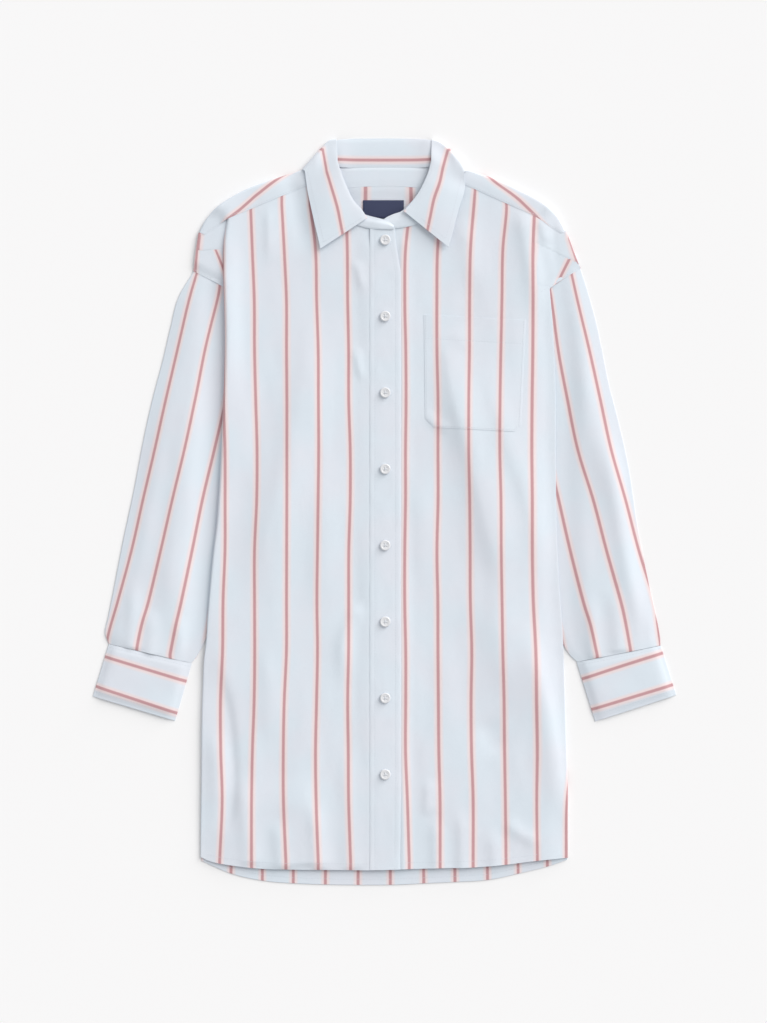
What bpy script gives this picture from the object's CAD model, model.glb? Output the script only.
# A striped shirt dress laid flat on its back. Tables are in millimetres in the frame of the
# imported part: X across, Y from hem to collar, Z up from the surface that the dress lies on.
# Left and right are the wearer's, so the right front lies at negative X.
import math
from collections import namedtuple

import bpy
import numpy as np
from bpy.props import FloatProperty, FloatVectorProperty, PointerProperty
from bpy.types import Operator, Panel, PropertyGroup
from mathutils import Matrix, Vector
from mathutils.bvhtree import BVHTree


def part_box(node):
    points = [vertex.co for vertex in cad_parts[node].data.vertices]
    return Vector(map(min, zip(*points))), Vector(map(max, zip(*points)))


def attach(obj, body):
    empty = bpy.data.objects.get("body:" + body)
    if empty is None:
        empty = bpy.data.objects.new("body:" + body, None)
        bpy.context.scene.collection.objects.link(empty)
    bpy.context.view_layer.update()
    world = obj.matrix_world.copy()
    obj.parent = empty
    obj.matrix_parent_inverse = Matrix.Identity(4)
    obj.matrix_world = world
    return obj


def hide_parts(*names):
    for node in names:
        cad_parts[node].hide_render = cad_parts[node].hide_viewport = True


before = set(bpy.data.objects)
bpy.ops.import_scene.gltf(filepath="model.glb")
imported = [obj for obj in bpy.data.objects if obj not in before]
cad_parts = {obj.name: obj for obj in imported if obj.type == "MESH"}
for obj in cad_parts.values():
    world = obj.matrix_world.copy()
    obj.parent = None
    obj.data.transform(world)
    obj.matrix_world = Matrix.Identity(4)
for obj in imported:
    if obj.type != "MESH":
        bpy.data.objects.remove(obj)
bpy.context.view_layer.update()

bl_info = {
    "name": "Shirt dress",
    "version": (1, 0, 0),
    "blender": (4, 5, 0),
    "location": "3D View > Sidebar > Shirt dress",
    "description": "Builds a striped shirt dress, buttoned and laid flat",
    "category": "Add Mesh",
}

MM = 0.001
STEP_FACTOR = 1.0  # a coarser cloth grid while trying things

# Heights of the layers
GAP = 0.35
CLOTH_GAUGE = 1.0
PANEL_GAUGE = 0.6  # height that one layer of poplin takes up
CRISP_GAUGE = 1.3
PRESSED_SLEEVE = 1.6
SLEEVE_LOFT = 2.3
LEAST_LOFT = 0.2
EDGE_GAUGE = 0.95  # height of a sleeve at its pressed edge
EDGE_WIDTH = 8
SLEEVE_RISE = (9, 24)
SLEEVE_CROWN_WIDTH = 26
CUFF_FLAT = 3.3
CUFF_LOFT = 1.1
CUFF_CROWN_WIDTH = 16
CUFF_EDGE = 1.25
BODY_TOP = 5.7
CAP_TOP = 3.7
HEM_DROP = 1.7
HEM_SINK_LENGTH = 90
LEAST_GAP = 0.15  # between the back and the fronts above it
SLEEVE_LIFT = (20, 24)  # how far beside a hidden sleeve the back stays lifted, and comes down
HIDDEN_SLEEVE_TOP_Y = 236
UNDERARM_Y = 243
BACK_INSET = 1.4
UNEVENNESS = ((0.45, 30, 95, 3), (0.16, 11, 34, 5))  # height, distance across and along, seed

# Changes of level. A pair of numbers is the start and the width of a ramp.
NECK_RISE = 1.4  # how much higher the back lies inside the neck
NECK_RISE_Y = (341, 14)
NECK_RISE_END_X = (74, 10)
PLACKET_MIDDLE_X = 0.8
PLACKET_HOLD = (17.5, 12)  # beside the placket, and round the neck, creases are held flat
NECK_CENTRE_Y = 350
NECK_HOLD = (60, 30)
FLUSH_RISE = 1.05  # the fronts rise so far to meet the edges of the placket
FLUSH_START = (15.6, 1.6)
FLUSH_END = (17.3, 16)
FLUSH_TOP_Y = (288, 20)
CAP_JOIN_X = (171, 12)  # where the yoke goes over from a front to its dropped shoulder
YOKE_STEP_LOSS = 0.22
YOKE_STEP_LOSS_X = (178, 18)

# Placket, hem and neck
PLACKET_SEAM_X = -16
PLACKET_BOTTOM_Y = -394.4
PLACKET_TOP_Y = 308.2
PLACKET_EDGE = [[16.8, -392.5], [17.6, -300], [17.6, 262], [12.6, 292], [11.2, 308.2]]
HEM_Y = -394
NECK_SEAM_Y = 376.5
YOKE_BACK_SEAM_Y = 357.2
YOKE_SEAM_BOW = 0.00142
ROLL_HEIGHT = 8.6
LEAF_EDGE_HEIGHT = 7.4
FALL_LIFT = (12, 20)
BUTTON_COUNT = 8
PLACKET_RISE = 1.5
PLACKET_TUCK = 3.5
PLACKET_WIDTH = 33.5
PLACKET_LENGTH = 702
PLACKET_STITCH_INSET = 5.5

# Side folds of the body: y, x on the wearer's right, x on the left.
BODY_SIDES = [
    (-381, -202.4, 202.4), (-344, -202.0, 202.0), (-307, -201.6, 201.6), (-271, -201.3, 200.4),
    (-235, -201.1, 199.2), (-201, -200.2, 198.2), (-168, -198.8, 197.2), (-143, -196.0, 196.2),
    (-115, -194.2, 194.3), (-85, -191.8, 192.0), (-50, -188.6, 190.2), (-15, -184.4, 188.9),
    (20, -181.8, 188.4), (55, -179.8, 188.1), (90, -178.2, 188.1), (125, -176.9, 188.0),
    (160, -175.8, 186.9), (190, -175.3, 185.6), (218, -175.8, 183.7), (243, -176.6, 181.5),
    (268, -177.2, 179.8), (294, -176.8, 176.0),
]

# Shoulders from the neck outwards: front seam of the yoke, its fold, and x at its back seam.
YOKE_STATIONS = {
    "right": [
        ((-72.8, 363.0), (-72.0, 380.5), -72), ((-113.4, 345.8), (-120.6, 365.2), -119),
        ((-147.5, 331.4), (-154.3, 352.6), -152), ((-172.8, 320.7), (-182.3, 335.7), -178),
        ((-186.0, 311.1), (-196.4, 320.3), -190), ((-196.6, 303.4), (-203.8, 306.4), -196),
    ],
    "left": [
        ((75.4, 364.2), (74.0, 380.5), 74), ((99.5, 353.3), (122.1, 364.7), 119),
        ((133.1, 338.1), (149.9, 352.2), 149), ((165.5, 323.4), (173.1, 339.8), 172),
        ((183.6, 311.0), (188.5, 325.9), 186), ((192.6, 304.8), (199.3, 307.5), 192),
    ],
}
SIDE_FOLD_STATION = 3
NECK_STRIP_REACH = 76

CAPS = {
    "right": {
        "inner_end": (-172, 243.8), "inner": [(-167.8, 323.7)],
        "edge": [(-204.7, 305.6), (-208.2, 284), (-210.4, 263.8)],
    },
    "left": {
        "inner_end": (173, 239.3), "inner": [(152, 233), (146, 334.5)],
        "edge": [(200.3, 306.6), (208.6, 284), (215.4, 267.0)],
    },
}
BACK_ARMHOLES = {
    "right": [(-176, 246.2), (-209.2, 263.6), (-207.4, 281), (-201.6, 298.6)],
    "left": [(181, 245.0), (213.8, 266.8), (207.8, 282), (197.8, 300.7)],
}
FRONT_HEMS = {
    "right": [
        (-202.4, -380.5), (-193.7, -384.5), (-179.7, -387.8), (-144.2, -392.4), (-109, -393.9),
        (-16.35, -394.7),
    ],
    "left": [
        (202.4, -381), (166.8, -384.5), (133.7, -388.5), (96.8, -391.6), (61.6, -392.4),
        (-12, -394.5),
    ],
}
BACK_HEM = [
    (-201.4, -384.5), (-168.9, -398.5), (-134.9, -406.2), (-99.4, -409.3), (-48.5, -410.9),
    (7.7, -410.9), (43.7, -409.3), (78.1, -407.8), (113.6, -405.5), (147.6, -398.5),
    (179.3, -390.8), (200.7, -383.4),
]
FRONT_NECKS = {
    "right": [(-70.6, 361.4), (-63.9, 338.2), (-46.3, 320.7), (-28.7, 311.9), (-16.35, 308.8)],
    "left": [(73.8, 362.4), (67.1, 338.2), (49.5, 320.7), (31.9, 311.9), (16.5, 308.8), (-12, 307.8)],
}

# Sleeve rings from armhole to cuff: outer end, inner end, sag of the part under the body.
SLEEVE_SECTIONS = {
    "right": [
        (-208.4, 265.9, -82.6, 200.7, 26), (-226.6, 235.0, -93, 176.0, 18),
        (-235.6, 200.8, -104, 149.1, 9), (-244.4, 163.4, -114.5, 115.0, 3),
        (-255.4, 121.6, -125.5, 77.6, 0), (-265.6, 75.4, -138.0, 35.8, 0),
        (-275.6, 22.6, -153.0, -13.8, 0), (-287.4, -32.5, -168.9, -67.7, 0),
        (-297.0, -82.0, -183.8, -113.9, 0), (-303.6, -115.0, -197.5, -143.6, 0),
        (-307.4, -133.7, -206.3, -159.5, 0), (-303.2, -145.9, -212.4, -167.3, 0),
    ],
    "left": [
        (214.3, 269.5, 88.8, 187.2, 22), (222.2, 244.8, 97.9, 167.0, 15),
        (231.0, 214.0, 107.8, 143.6, 8), (239.2, 176.6, 117.7, 108.4, 3),
        (246.4, 140.2, 127.0, 75.4, 0), (257.4, 97.4, 137.5, 39.1, 0),
        (268.9, 44.6, 150.7, -7.2, 0), (278.8, -21.5, 164.4, -54.5, 0),
        (290.4, -78.7, 177.1, -101.8, 0), (298.1, -112.8, 190.3, -134.8, 0),
        (302.5, -135.9, 201.8, -155.7, 0), (303.4, -147.8, 211.6, -165.9, 0),
    ],
}

# Flattened cuffs: seam outer, seam inner, wrist outer, wrist inner.
CUFFS = {
    "right": [(-303.3, -146.5), (-212.0, -167.9), (-320.7, -203.5), (-230.3, -230.5)],
    "left": [(303.8, -148.3), (211.4, -166.5), (320.7, -202.2), (231.6, -231.2)],
}

# Collar stand from its right end round the neck to its left end: edge towards the neck
# opening, other edge, height of the lower face.
STAND_ROWS = [
    (9.8, 314.0, 10.4, 308.8, 7.5), (4.0, 318.2, 4.0, 308.8, 7.5), (-6.0, 321.2, -8.0, 309.2, 7.5),
    (-16.0, 323.8, -20.0, 310.8, 6.2), (-23.5, 326.5, -33.0, 314.8, 6.1),
    (-29.5, 332.5, -46.0, 321.6, 6.1), (-36.5, 344.5, -58.5, 332.0, 6.1),
    (-43.5, 359.5, -66.5, 345.5, 6.1), (-48.5, 370.0, -69.6, 361.0, 6.1),
    (-51.5, 374.0, -67.0, 384.0, 4.4), (-51.5, 378.0, -60.5, 401.5, 3.0),
    (-46, 377.6, -50, 407.8, 2.9), (-28, 377.1, -28, 408.4, 1.65), (28, 377.1, 28, 408.4, 1.65),
    (45, 377.6, 49, 407.8, 2.9), (50.0, 378.0, 59.5, 401.5, 3.0), (50.0, 374.0, 66.0, 384.0, 4.4),
    (46.5, 369.0, 71.0, 361.0, 6.1), (40.5, 355.0, 68.0, 345.5, 6.1),
    (32.5, 343.0, 60.0, 331.5, 6.1), (25.0, 335.0, 47.5, 321.2, 6.1),
    (18.5, 329.0, 34.5, 314.4, 6.1), (9.0, 325.6, 20.0, 311.2, 6.1), (1.0, 321.6, 6.0, 309.6, 6.1),
    (-3.0, 317.5, -3.0, 309.2, 6.1),
]

# Collar leaves from tip to shoulder, then its turn over the shoulder: roll and outer edge.
LEAF_ROWS = {
    "right": [
        (-19.1, 321.5, -70.2, 287.9), (-25.2, 330.8, -73.4, 302.0), (-34.5, 341.5, -77.4, 319.0),
        (-44.3, 362.5, -81.2, 336.0), (-51.9, 384.0, -84.8, 353.0),
    ],
    "left": [
        (21.1, 329.0, 69.6, 289.6), (27.6, 336.5, 75.4, 309.0), (37.2, 349.1, 81.0, 331.0),
        (46.5, 367.6, 87.0, 349.0), (51.6, 385.0, 88.4, 361.0),
    ],
}
SHOULDER_TURN = {
    "right": [(-53.6, 409.2), (-61.2, 407.2), (-69.8, 398.9), (-80.2, 387.2), (-90.4, 375.7)],
    "left": [(52.6, 409.0), (62.5, 405.2), (74.5, 395.4), (84.5, 383.8), (90.4, 373.8)],
}
FALL_ROWS = [
    (-38, 409.2, -66, 362.5), (-20, 409.4, -33, 360.5), (0, 409.5, 0, 360.0),
    (20, 409.4, 33, 360.5), (38, 409.0, 66, 362.5),
]
FALL_OUTLINE = [(-84, 382), (-60, 409), (60, 409), (84, 382), (80, 362), (0, 357), (-80, 362)]

POCKET_BOTTOM = [(44.6, 101.8), (54.2, 91.6), (142.4, 87.2), (149.8, 94.2)]
POCKET_TOP = [(43.2, 215.6), (155, 209.6)]

# Stripes as lines across the cloth, each a list of (y, x) from hem to shoulder.
ROWS_Y = (
    -384.5, -318.5, -263.5, -208.5, -153.5, -98.5, -43.5, 11.6, 66.6, 121.6, 176.6, 231.6, 286.6, 336.1,
)
LEFT_ROWS_Y = (*ROWS_Y, 352.6)
FRONT_STRIPES = {
    "right": [
        (ROWS_Y, (-181.2, -178.3, -179.9, -180.3, -177.9, -177.3, -175.1, -175.0, -175.1, -176.7,
                  -177.2, -177.7, -178.3, -179.4)),
        (ROWS_Y, (-146.2, -146.1, -145.1, -143.1, -142.6, -142.8, -142.8, -140.3, -139.9, -141.4,
                  -142.8, -143.1, -145.3, -147.2)),
        (ROWS_Y, (-108.3, -111.0, -111.2, -110.2, -107.7, -107.6, -107.4, -107.2, -107.2, -107.2,
                  -107.6, -107.7, -110.2, -112.8)),
        (ROWS_Y, (-72.8, -75.1, -75.8, -74.6, -73.6, -74.3, -73.6, -72.9, -72.3, -72.5, -72.8,
                  -74.6, -75.8, -82.0)),
        (ROWS_Y, (-37.3, -39.4, -39.8, -40.5, -39.5, -39.4, -39.3, -37.7, -37.7, -39.4, -39.5,
                  -40.5, -40.9, -42.4)),
    ],
    "left": [
        (LEFT_ROWS_Y, (27.1, 25.1, 23.0, 23.2, 23.2, 22.1, 22.2, 23.0, 23.0, 23.6, 23.3, 22.2,
                       23.0, 29.0, 31.8)),
        (LEFT_ROWS_Y, (61.0, 60.9, 59.6, 59.1, 58.6, 58.5, 57.5, 58.8, 58.7, 58.7, 57.5, 57.4,
                       58.2, 62.5, 64.8)),
        (LEFT_ROWS_Y, (97.3, 97.3, 95.5, 95.0, 95.8, 94.2, 94.0, 93.4, 92.3, 92.3, 93.2, 93.4,
                       94.3, 98.2, 99.7)),
        (LEFT_ROWS_Y, (133.5, 132.7, 131.8, 131.2, 129.7, 128.9, 128.0, 127.7, 126.4, 126.7,
                       127.7, 128.9, 129.9, 134.0, 125.3)),
        (LEFT_ROWS_Y, (168.0, 167.1, 167.6, 166.6, 165.8, 163.1, 162.0, 162.0, 161.5, 161.9,
                       162.7, 162.9, 162.7, 164.4, 159.4)),
        (ROWS_Y, (199.5, 200.4, 208.0, 208.5, 207.5, 205.5, 204.0, 203.0, 203.0, 203.0, 203.0, 203.0,
                  203.0, 203.0)),
    ],
}
BACK_STRIPE_ENDS = [
    (-162.0, -168.9), (-126.8, -134.4), (-91.6, -100.4), (-56.4, -65.1), (-21.2, -29.1),
    (4.0, 6.3), (29.3, 43.2), (64.5, 77.4), (99.7, 113.4), (134.9, 147.1), (170.1, 179.2),
]
PLEAT_NEIGHBOURS = (4, 6)  # the stripes on both sides of the closed pleat
SLEEVE_Y = (-159, -126, -98.5, -43.5, 11.6, 66.6, 121.6, 176.6, 231.6, 262.4)
SLEEVE_STRIPES = {
    "right": [
        (SLEEVE_Y, (-307.5, -298.3, -289.9, -274.5, -261.9, -248.7, -236.4, -223.6, -210.7, -202.5)),
        (SLEEVE_Y, (-270.1, -262.8, -254.5, -241.1, -228.2, -214.6, -202.8, -192.0, -178.4, -176.1)),
        (SLEEVE_Y, (-232.2, -225.0, -218.4, -206.6, -195.3, -182.0, -169.0, -157.0, -146.0, -140.0)),
    ],
    "left": [
        (SLEEVE_Y, (233.6, 226.3, 217.9, 204.0, 191.5, 179.0, 166.5, 156.0, 148.0, 143.0)),
        (SLEEVE_Y, (271.4, 265.5, 259.3, 244.0, 229.5, 212.4, 201.2, 191.0, 183.9, 177.6)),
        (SLEEVE_Y, (305.2, 300.5, 296.7, 279.6, 265.0, 249.2, 237.3, 225.1, 211.8, 205.0)),
    ],
}
# Stripes of the dropped shoulders, below and above a soft fold across them.
CAP_STRIPES = {
    "right": (
        [((263.1, 301.5), (-208.2, -203.8)), ((250.0, 285.8, 300.0), (-170.0, -185.5, -192.0))],
        [((263.1, 301.5), (-208.2, -203.8)), ((250.0, 301.5), (-164.0, -162.0))],
    ),
    "left": (
        [FRONT_STRIPES["left"][4], ((232.0, 246.0, 270.0, 290.0), (180.4, 187.5, 199.7, 210.0))],
        [FRONT_STRIPES["left"][4], ((232.0, 269.0, 298.5), (227.0, 214.0, 203.6))],
    ),
}
CAP_FOLDS = {"right": ((-212, 286.5), (-172, 286.5)), "left": ((176, 289.0), (214, 271.0))}
# Where the stripe of each shoulder yoke runs, from neck to armhole.
YOKE_STRIPES = {
    "right": [
        (-100, 379), (-119.7, 364.3), (-146.2, 343.2), (-160, 330), (-172.8, 319.7), (-182, 302),
        (-190, 280),
    ],
    "left": [(104, 379), (123.8, 362.5), (147.0, 342.5), (166.8, 323.3), (180, 307), (192, 286)],
}
# Stripes of the cuffs as shares of their depth, at the outer and at the inner end.
CUFF_STRIPES = {
    "right": ((0.237, 0.81), (0.31, 0.869)),
    "left": ((0.143, 0.79), (0.282, 0.80)),
}

# A soft ridge, or a trough where height is negative: its path down the picture, how far it
# falls away on the path's left and right as seen, its height, the rounding of its crest
# and the shares of its length over which it fades in and out.
Crease = namedtuple("Crease", "path left right height crest fade_in fade_out")

BODY_CREASES = [
    # wearer's left front
    Crease(
        [(69, 182), (81, 122), (99, 50), (113, -5), (129, -71), (137, -126)],
        15, 36, 4.6, 4, 0.3, 0.35,
    ),
    Crease([(119, -54), (126, -120), (136, -186), (145, -241)], 20, 30, 3.2, 5, 0.4, 0.4),
    Crease(
        [(104, 177), (123, 116), (139, 67), (158, 12), (169, -43), (177, -104)],
        9, 18, 1.7, 3.5, 0.3, 0.3,
    ),
    Crease([(66, 199), (74, 149), (82, 100), (96, 45)], 8, 18, 1.5, 3.5, 0.25, 0.4),
    Crease([(73, 201), (97, 174)], 8, 12, 0.8, 3, 0.3, 0.4),
    Crease([(153, -109), (169, -186), (183, -247), (191, -302), (197, -354)], 14, 10, 3.2, 3, 0.3, 0.25),
    Crease([(149, 338), (157, 287), (164, 243), (168, 199)], 8, 14, 2.6, 2.5, 0.2, 0.4),
    Crease([(170, 326), (178, 292)], 4, 8, 1.3, 1.5, 0.3, 0.3),
    Crease([(128, -338), (150, -355), (172, -366)], 6, 7, 1.5, 2, 0.3, 0.3),
    Crease([(48, -290), (46, -338)], 4, 9, 1.1, 1.5, 0.35, 0.3),
    Crease([(84, -324), (85, -394)], 5, 10, 1.5, 2, 0.4, 0.02),
    Crease([(55, -332), (57, -394)], 5, 9, 1.3, 2, 0.4, 0.02),
    Crease([(118, -345), (121, -392)], 6, 10, 1.2, 2, 0.5, 0.02),
    Crease([(106, -224), (130, -271)], 10, 12, -1.3, 4, 0.35, 0.35),
    Crease([(88, 325), (92, 273), (94, 232)], 9, 12, 1.6, 3, 0.3, 0.4),
    Crease([(46, 112), (57, 95), (80, 88)], 4, 6, 1.0, 1.5, 0.35, 0.35),
    Crease([(34, 60), (40, -20), (37, -90)], 9, 14, 1.2, 4, 0.4, 0.4),
    Crease([(60, -130), (66, -200), (64, -262)], 8, 14, 1.0, 3, 0.4, 0.4),
    # wearer's right front
    Crease(
        [(-71, 232), (-82, 155), (-95, 89), (-111, 23), (-128, -43), (-137, -109)],
        20, 32, 4.4, 5, 0.35, 0.35,
    ),
    Crease([(-101, 366), (-94, 325), (-88, 276)], 10, 8, -1.9, 3, 0.15, 0.5),
    Crease([(-128, 340), (-127, 265)], 3.5, 8, 1.0, 1.2, 0.3, 0.4),
    Crease([(-34, 280), (-27, 257), (-21, 238)], 4, 6, 1.2, 1.2, 0.35, 0.35),
    Crease([(-33, 184), (-28, 158), (-21, 139)], 4, 6, 1.2, 1.2, 0.35, 0.35),
    Crease([(-21, -98), (-37, -119), (-45, -142), (-47, -197)], 6, 10, 2.0, 2, 0.2, 0.45),
    Crease(
        [(-190, -160), (-175, -208), (-168, -263), (-167, -313), (-175, -360)],
        15, 5, -2.4, 2, 0.3, 0.2,
    ),
    Crease([(-188, -230), (-184, -290), (-186, -345)], 9, 10, 1.5, 3, 0.35, 0.35),
    Crease([(-92, -285), (-86, -392)], 42, 16, 1.9, 5, 0.4, 0.05),
    Crease([(-156, -285), (-150, -390)], 8, 12, 1.5, 2.5, 0.4, 0.05),
    Crease([(-119, -335), (-114, -394)], 6, 10, 1.5, 2, 0.4, 0.02),
    Crease([(-79, -315), (-74, -394)], 6, 10, 1.7, 2, 0.4, 0.02),
    Crease([(-44, -250), (-36, -394)], 8, 12, 1.4, 3, 0.4, 0.02),
    Crease([(-152, 180), (-156, 90), (-166, 10)], 12, 18, 1.3, 4, 0.4, 0.4),
    Crease([(-60, 60), (-68, -20), (-72, -120)], 10, 16, 1.3, 4, 0.4, 0.4),
    Crease([(-125, -140), (-128, -215), (-118, -262)], 9, 14, 1.2, 3, 0.4, 0.4),
]
SLEEVE_CREASES = {
    "right": [
        Crease(
            [(-203, 176), (-214, 111), (-221, 56), (-228, -10), (-235, -76), (-233, -150)],
            12, 20, 3.0, 3, 0.25, 0.3,
        ),
        Crease([(-238, 150), (-250, 76), (-262, -10), (-273, -87)], 10, 12, 1.4, 3, 0.35, 0.35),
        Crease([(-293, -92), (-297, -149)], 5, 6, 1.4, 2, 0.4, 0.02),
        Crease([(-276, -70), (-279, -152)], 6, 8, 1.6, 2, 0.45, 0.02),
        Crease([(-256, -105), (-259, -158)], 5, 7, 1.5, 2, 0.4, 0.02),
        Crease([(-227, -110), (-222, -166)], 5, 6, 1.4, 2, 0.4, 0.02),
    ],
    "left": [
        Crease([(240, 112), (255, 34), (266, -21), (277, -87), (285, -140)], 12, 16, 3.2, 3, 0.3, 0.25),
        Crease([(214, 208), (222, 130), (236, 52), (247, -30)], 10, 14, 1.6, 3, 0.35, 0.4),
        Crease([(226, -90), (230, -162)], 5, 7, 1.5, 2, 0.4, 0.02),
        Crease([(250, -76), (257, -155)], 6, 8, 1.7, 2, 0.4, 0.02),
        Crease([(293, -105), (294, -150)], 4, 5, 1.2, 2, 0.4, 0.02),
    ],
}
# How much further the side folds of the body stand up than the middle, by y.
SIDE_SWELL = {
    "right": ((-394, -300, -150, 0, 150, 250, 310), (-1.7, -2.2, -0.6, 2.4, 3.8, 4.2, 1.6)),
    "left": ((-394, -300, -150, 0, 150, 250, 310), (-1.6, -3.0, -3.1, -2.9, -2.8, -2.6, -0.9)),
}
SIDE_SWELL_WIDTH = 17
LEAF_LIFT = {"right": 3.0, "left": 4.8}  # how far the tips of the collar stand off the body


# Numbers and plan geometry

def srgb(red, green, blue):
    """A colour given as 0 to 255 in sRGB, as the linear numbers that shaders use."""
    shares = (value / 255 for value in (red, green, blue))
    return tuple(s / 12.92 if s <= 0.04045 else ((s + 0.055) / 1.055) ** 2.4 for s in shares)


def ease(t):
    """0 up to t = 0, 1 from t = 1, and a smooth step between."""
    t = np.clip(t, 0, 1)
    return t * t * (3 - 2 * t)


def ramp(value, start, width):
    """0 up to a start, 1 beyond a width from there, and a smooth step between."""
    return ease((value - start) / width)


def fall(value, start, width):
    """1 up to a start, 0 beyond a width from there, and a smooth step between."""
    return ease(1 - (value - start) / width)


def mix(a, b, t):
    return a + (b - a) * t


def lengths_along(points):
    """The length of a path up to each of its points."""
    return np.concatenate([[0], np.cumsum(np.linalg.norm(np.diff(points, axis=0), axis=1))])


def soft_max(a, b, softness=0.6):
    """The greater of two heights, rounded where they meet."""
    return (a + b + np.sqrt((a - b) ** 2 + softness ** 2)) / 2


def spaced(points, count):
    """Places spaced evenly by length along straight runs between points."""
    points = np.asarray(points, float)
    lengths = lengths_along(points)
    at = np.linspace(0, lengths[-1], count)
    return np.stack([np.interp(at, lengths, points[:, k]) for k in range(points.shape[1])], -1)


CURVE_PARTS = 12


def rounded(points):
    """A smooth curve through points, with several parts between each two."""
    points = np.asarray(points, float)
    ends = np.vstack([2 * points[0] - points[1], points, 2 * points[-1] - points[-2]])
    t = np.linspace(0, 1, CURVE_PARTS, endpoint=False)[:, None]
    runs = [
        b + 0.5 * t * (c - a + t * (2 * a - 5 * b + 4 * c - d + t * (3 * (b - c) + d - a)))
        for a, b, c, d in zip(ends[:-3], ends[1:-2], ends[2:-1], ends[3:])
    ]
    return np.vstack([*runs, points[-1:]])


def curve(points, count):
    """Places spaced evenly by length along a smooth curve through points."""
    return spaced(rounded(points), count)


def by_height(points, ys):
    """Places of a smooth curve through points at given heights up the garment."""
    line = rounded(points)
    order = np.argsort(line[:, 1])
    return np.stack([np.interp(ys, line[order, 1], line[order, 0]), ys], -1)


def plan_between(bottom, top, left, right):
    """The plan of a panel between four edges that share corners."""
    u = np.linspace(0, 1, len(bottom))[None, :, None]
    v = np.linspace(0, 1, len(left))[:, None, None]
    ruled = mix(bottom[None], top[None], v) + mix(left[:, None], right[:, None], u)
    return ruled - mix(mix(bottom[0], bottom[-1], u), mix(top[0], top[-1], u), v)


def across_rows(rows, shares):
    """Places at shares of the way across each row, which holds the x and y of both its ends."""
    return mix(rows[:, None, :2], rows[:, None, 2:4], shares[None, :, None])


def steps(length, step):
    """How many places a length takes when they are about a step apart."""
    return max(3, int(math.ceil(length / (step * STEP_FACTOR))) + 1)


def unit_grid(columns, rows):
    """Shares across and along a panel at each of its places."""
    return np.meshgrid(np.linspace(0, 1, columns), np.linspace(0, 1, rows))


def to_segment(x, y, start, end):
    """Distance to a segment, which side of it a place lies on, and how far along."""
    run, rise = end[0] - start[0], end[1] - start[1]
    t = np.clip(((x - start[0]) * run + (y - start[1]) * rise) / (run * run + rise * rise), 0, 1)
    east, north = x - start[0] - t * run, y - start[1] - t * rise
    return np.hypot(east, north), np.sign(run * north - rise * east), t


def to_path(x, y, path):
    """Distance to the nearest place on a path, its side, and the share of the path so far."""
    best, side, along = to_segment(x, y, path[0], path[1])
    last = len(path) - 1
    along = along / last
    for k in range(1, last):
        distance, sign, t = to_segment(x, y, path[k], path[k + 1])
        nearer = distance < best
        best = np.where(nearer, distance, best)
        side = np.where(nearer, sign, side)
        along = np.where(nearer, (k + t) / last, along)
    return best, side, along


def outside(x, y, outline):
    """How far a place lies outside an outline, and 0 within it."""
    inside = np.zeros(np.shape(x), bool)
    nearest = np.full(np.shape(x), 1e9)
    for start, end in zip(outline, [*outline[1:], outline[0]]):
        nearest = np.minimum(nearest, to_segment(x, y, start, end)[0])
        if start[1] != end[1]:
            crossing = start[0] + (y - start[1]) / (end[1] - start[1]) * (end[0] - start[0])
            inside ^= ((start[1] > y) != (end[1] > y)) & (x < crossing)
    return np.where(inside, 0, nearest)


CREASE_POINTS = 16
CREASE_REACH = 3.2  # beyond so many widths a crease is too low to count


def crease_height(crease, x, y):
    """Height of one soft crease at each place."""
    path = spaced(rounded(crease.path), CREASE_POINTS)
    reach = CREASE_REACH * max(crease.left, crease.right)
    low, high = path.min(0) - reach, path.max(0) + reach
    near = (x > low[0]) & (x < high[0]) & (y > low[1]) & (y < high[1])
    height = np.zeros(x.shape)
    distance, side, along = to_path(x[near], y[near], path)
    width = np.where(side < 0, crease.left, crease.right)
    across = (np.sqrt(distance ** 2 + crease.crest ** 2) - crease.crest) / width
    fade = ease(along / crease.fade_in) * ease((1 - along) / crease.fade_out)
    height[near] = crease.height * fade * np.exp(-across ** 1.5)
    return height


LATTICE = 64


def unevenness(x, y, across, along, seed):
    """Smooth random height from -1 to 1 that changes over the two given distances."""
    rng = np.random.default_rng(seed)
    lattice = rng.uniform(-1, 1, (LATTICE, LATTICE))
    column, row = x / across + LATTICE / 2, y / along + LATTICE / 2
    i, j = np.floor(row).astype(int), np.floor(column).astype(int)
    s, t = ease(column - j), ease(row - i)

    def at(di, dj):
        return lattice[(i + di) % LATTICE, (j + dj) % LATTICE]

    return mix(mix(at(0, 0), at(0, 1), s), mix(at(1, 0), at(1, 1), s), t)


def relief(creases, x, y, depth):
    """All creases of a piece together, with the slight unevenness of washed cotton."""
    total = sum(crease_height(crease, x, y) for crease in creases)
    for height, across, along, seed in UNEVENNESS:
        total = total + height * unevenness(x, y, across, along, seed)
    return depth * total


# Faces of the layers

SIDES = ("right", "left")
DIRECTION = {"right": 1, "left": -1}  # from the side fold of a front to its placket


def side_points(side, inset=0):
    """Where a side fold of the body runs, from the hem up, moved across by an inset."""
    column = 1 + SIDES.index(side)
    return [(row[column] + inset, row[0]) for row in BODY_SIDES]


SIDE_CURVES = {side: rounded(side_points(side)) for side in SIDES}


def side_x(side, y):
    """Where a side fold of the body lies at a height up the garment."""
    line = SIDE_CURVES[side]
    return np.interp(y, line[:, 1], line[:, 0])


def hidden_sleeve(side):
    """Outline of the part of a sleeve that lies under the body."""
    sections = SLEEVE_SECTIONS[side][:-2]
    inner = [(x, y - sag) for _, _, x, y, sag in sections]
    beside = [place for place in side_points(side) if inner[-1][1] < place[1] < HIDDEN_SLEEVE_TOP_Y]
    corner = (float(side_x(side, HIDDEN_SLEEVE_TOP_Y)), HIDDEN_SLEEVE_TOP_Y)
    return [corner, *inner, *beside]


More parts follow.
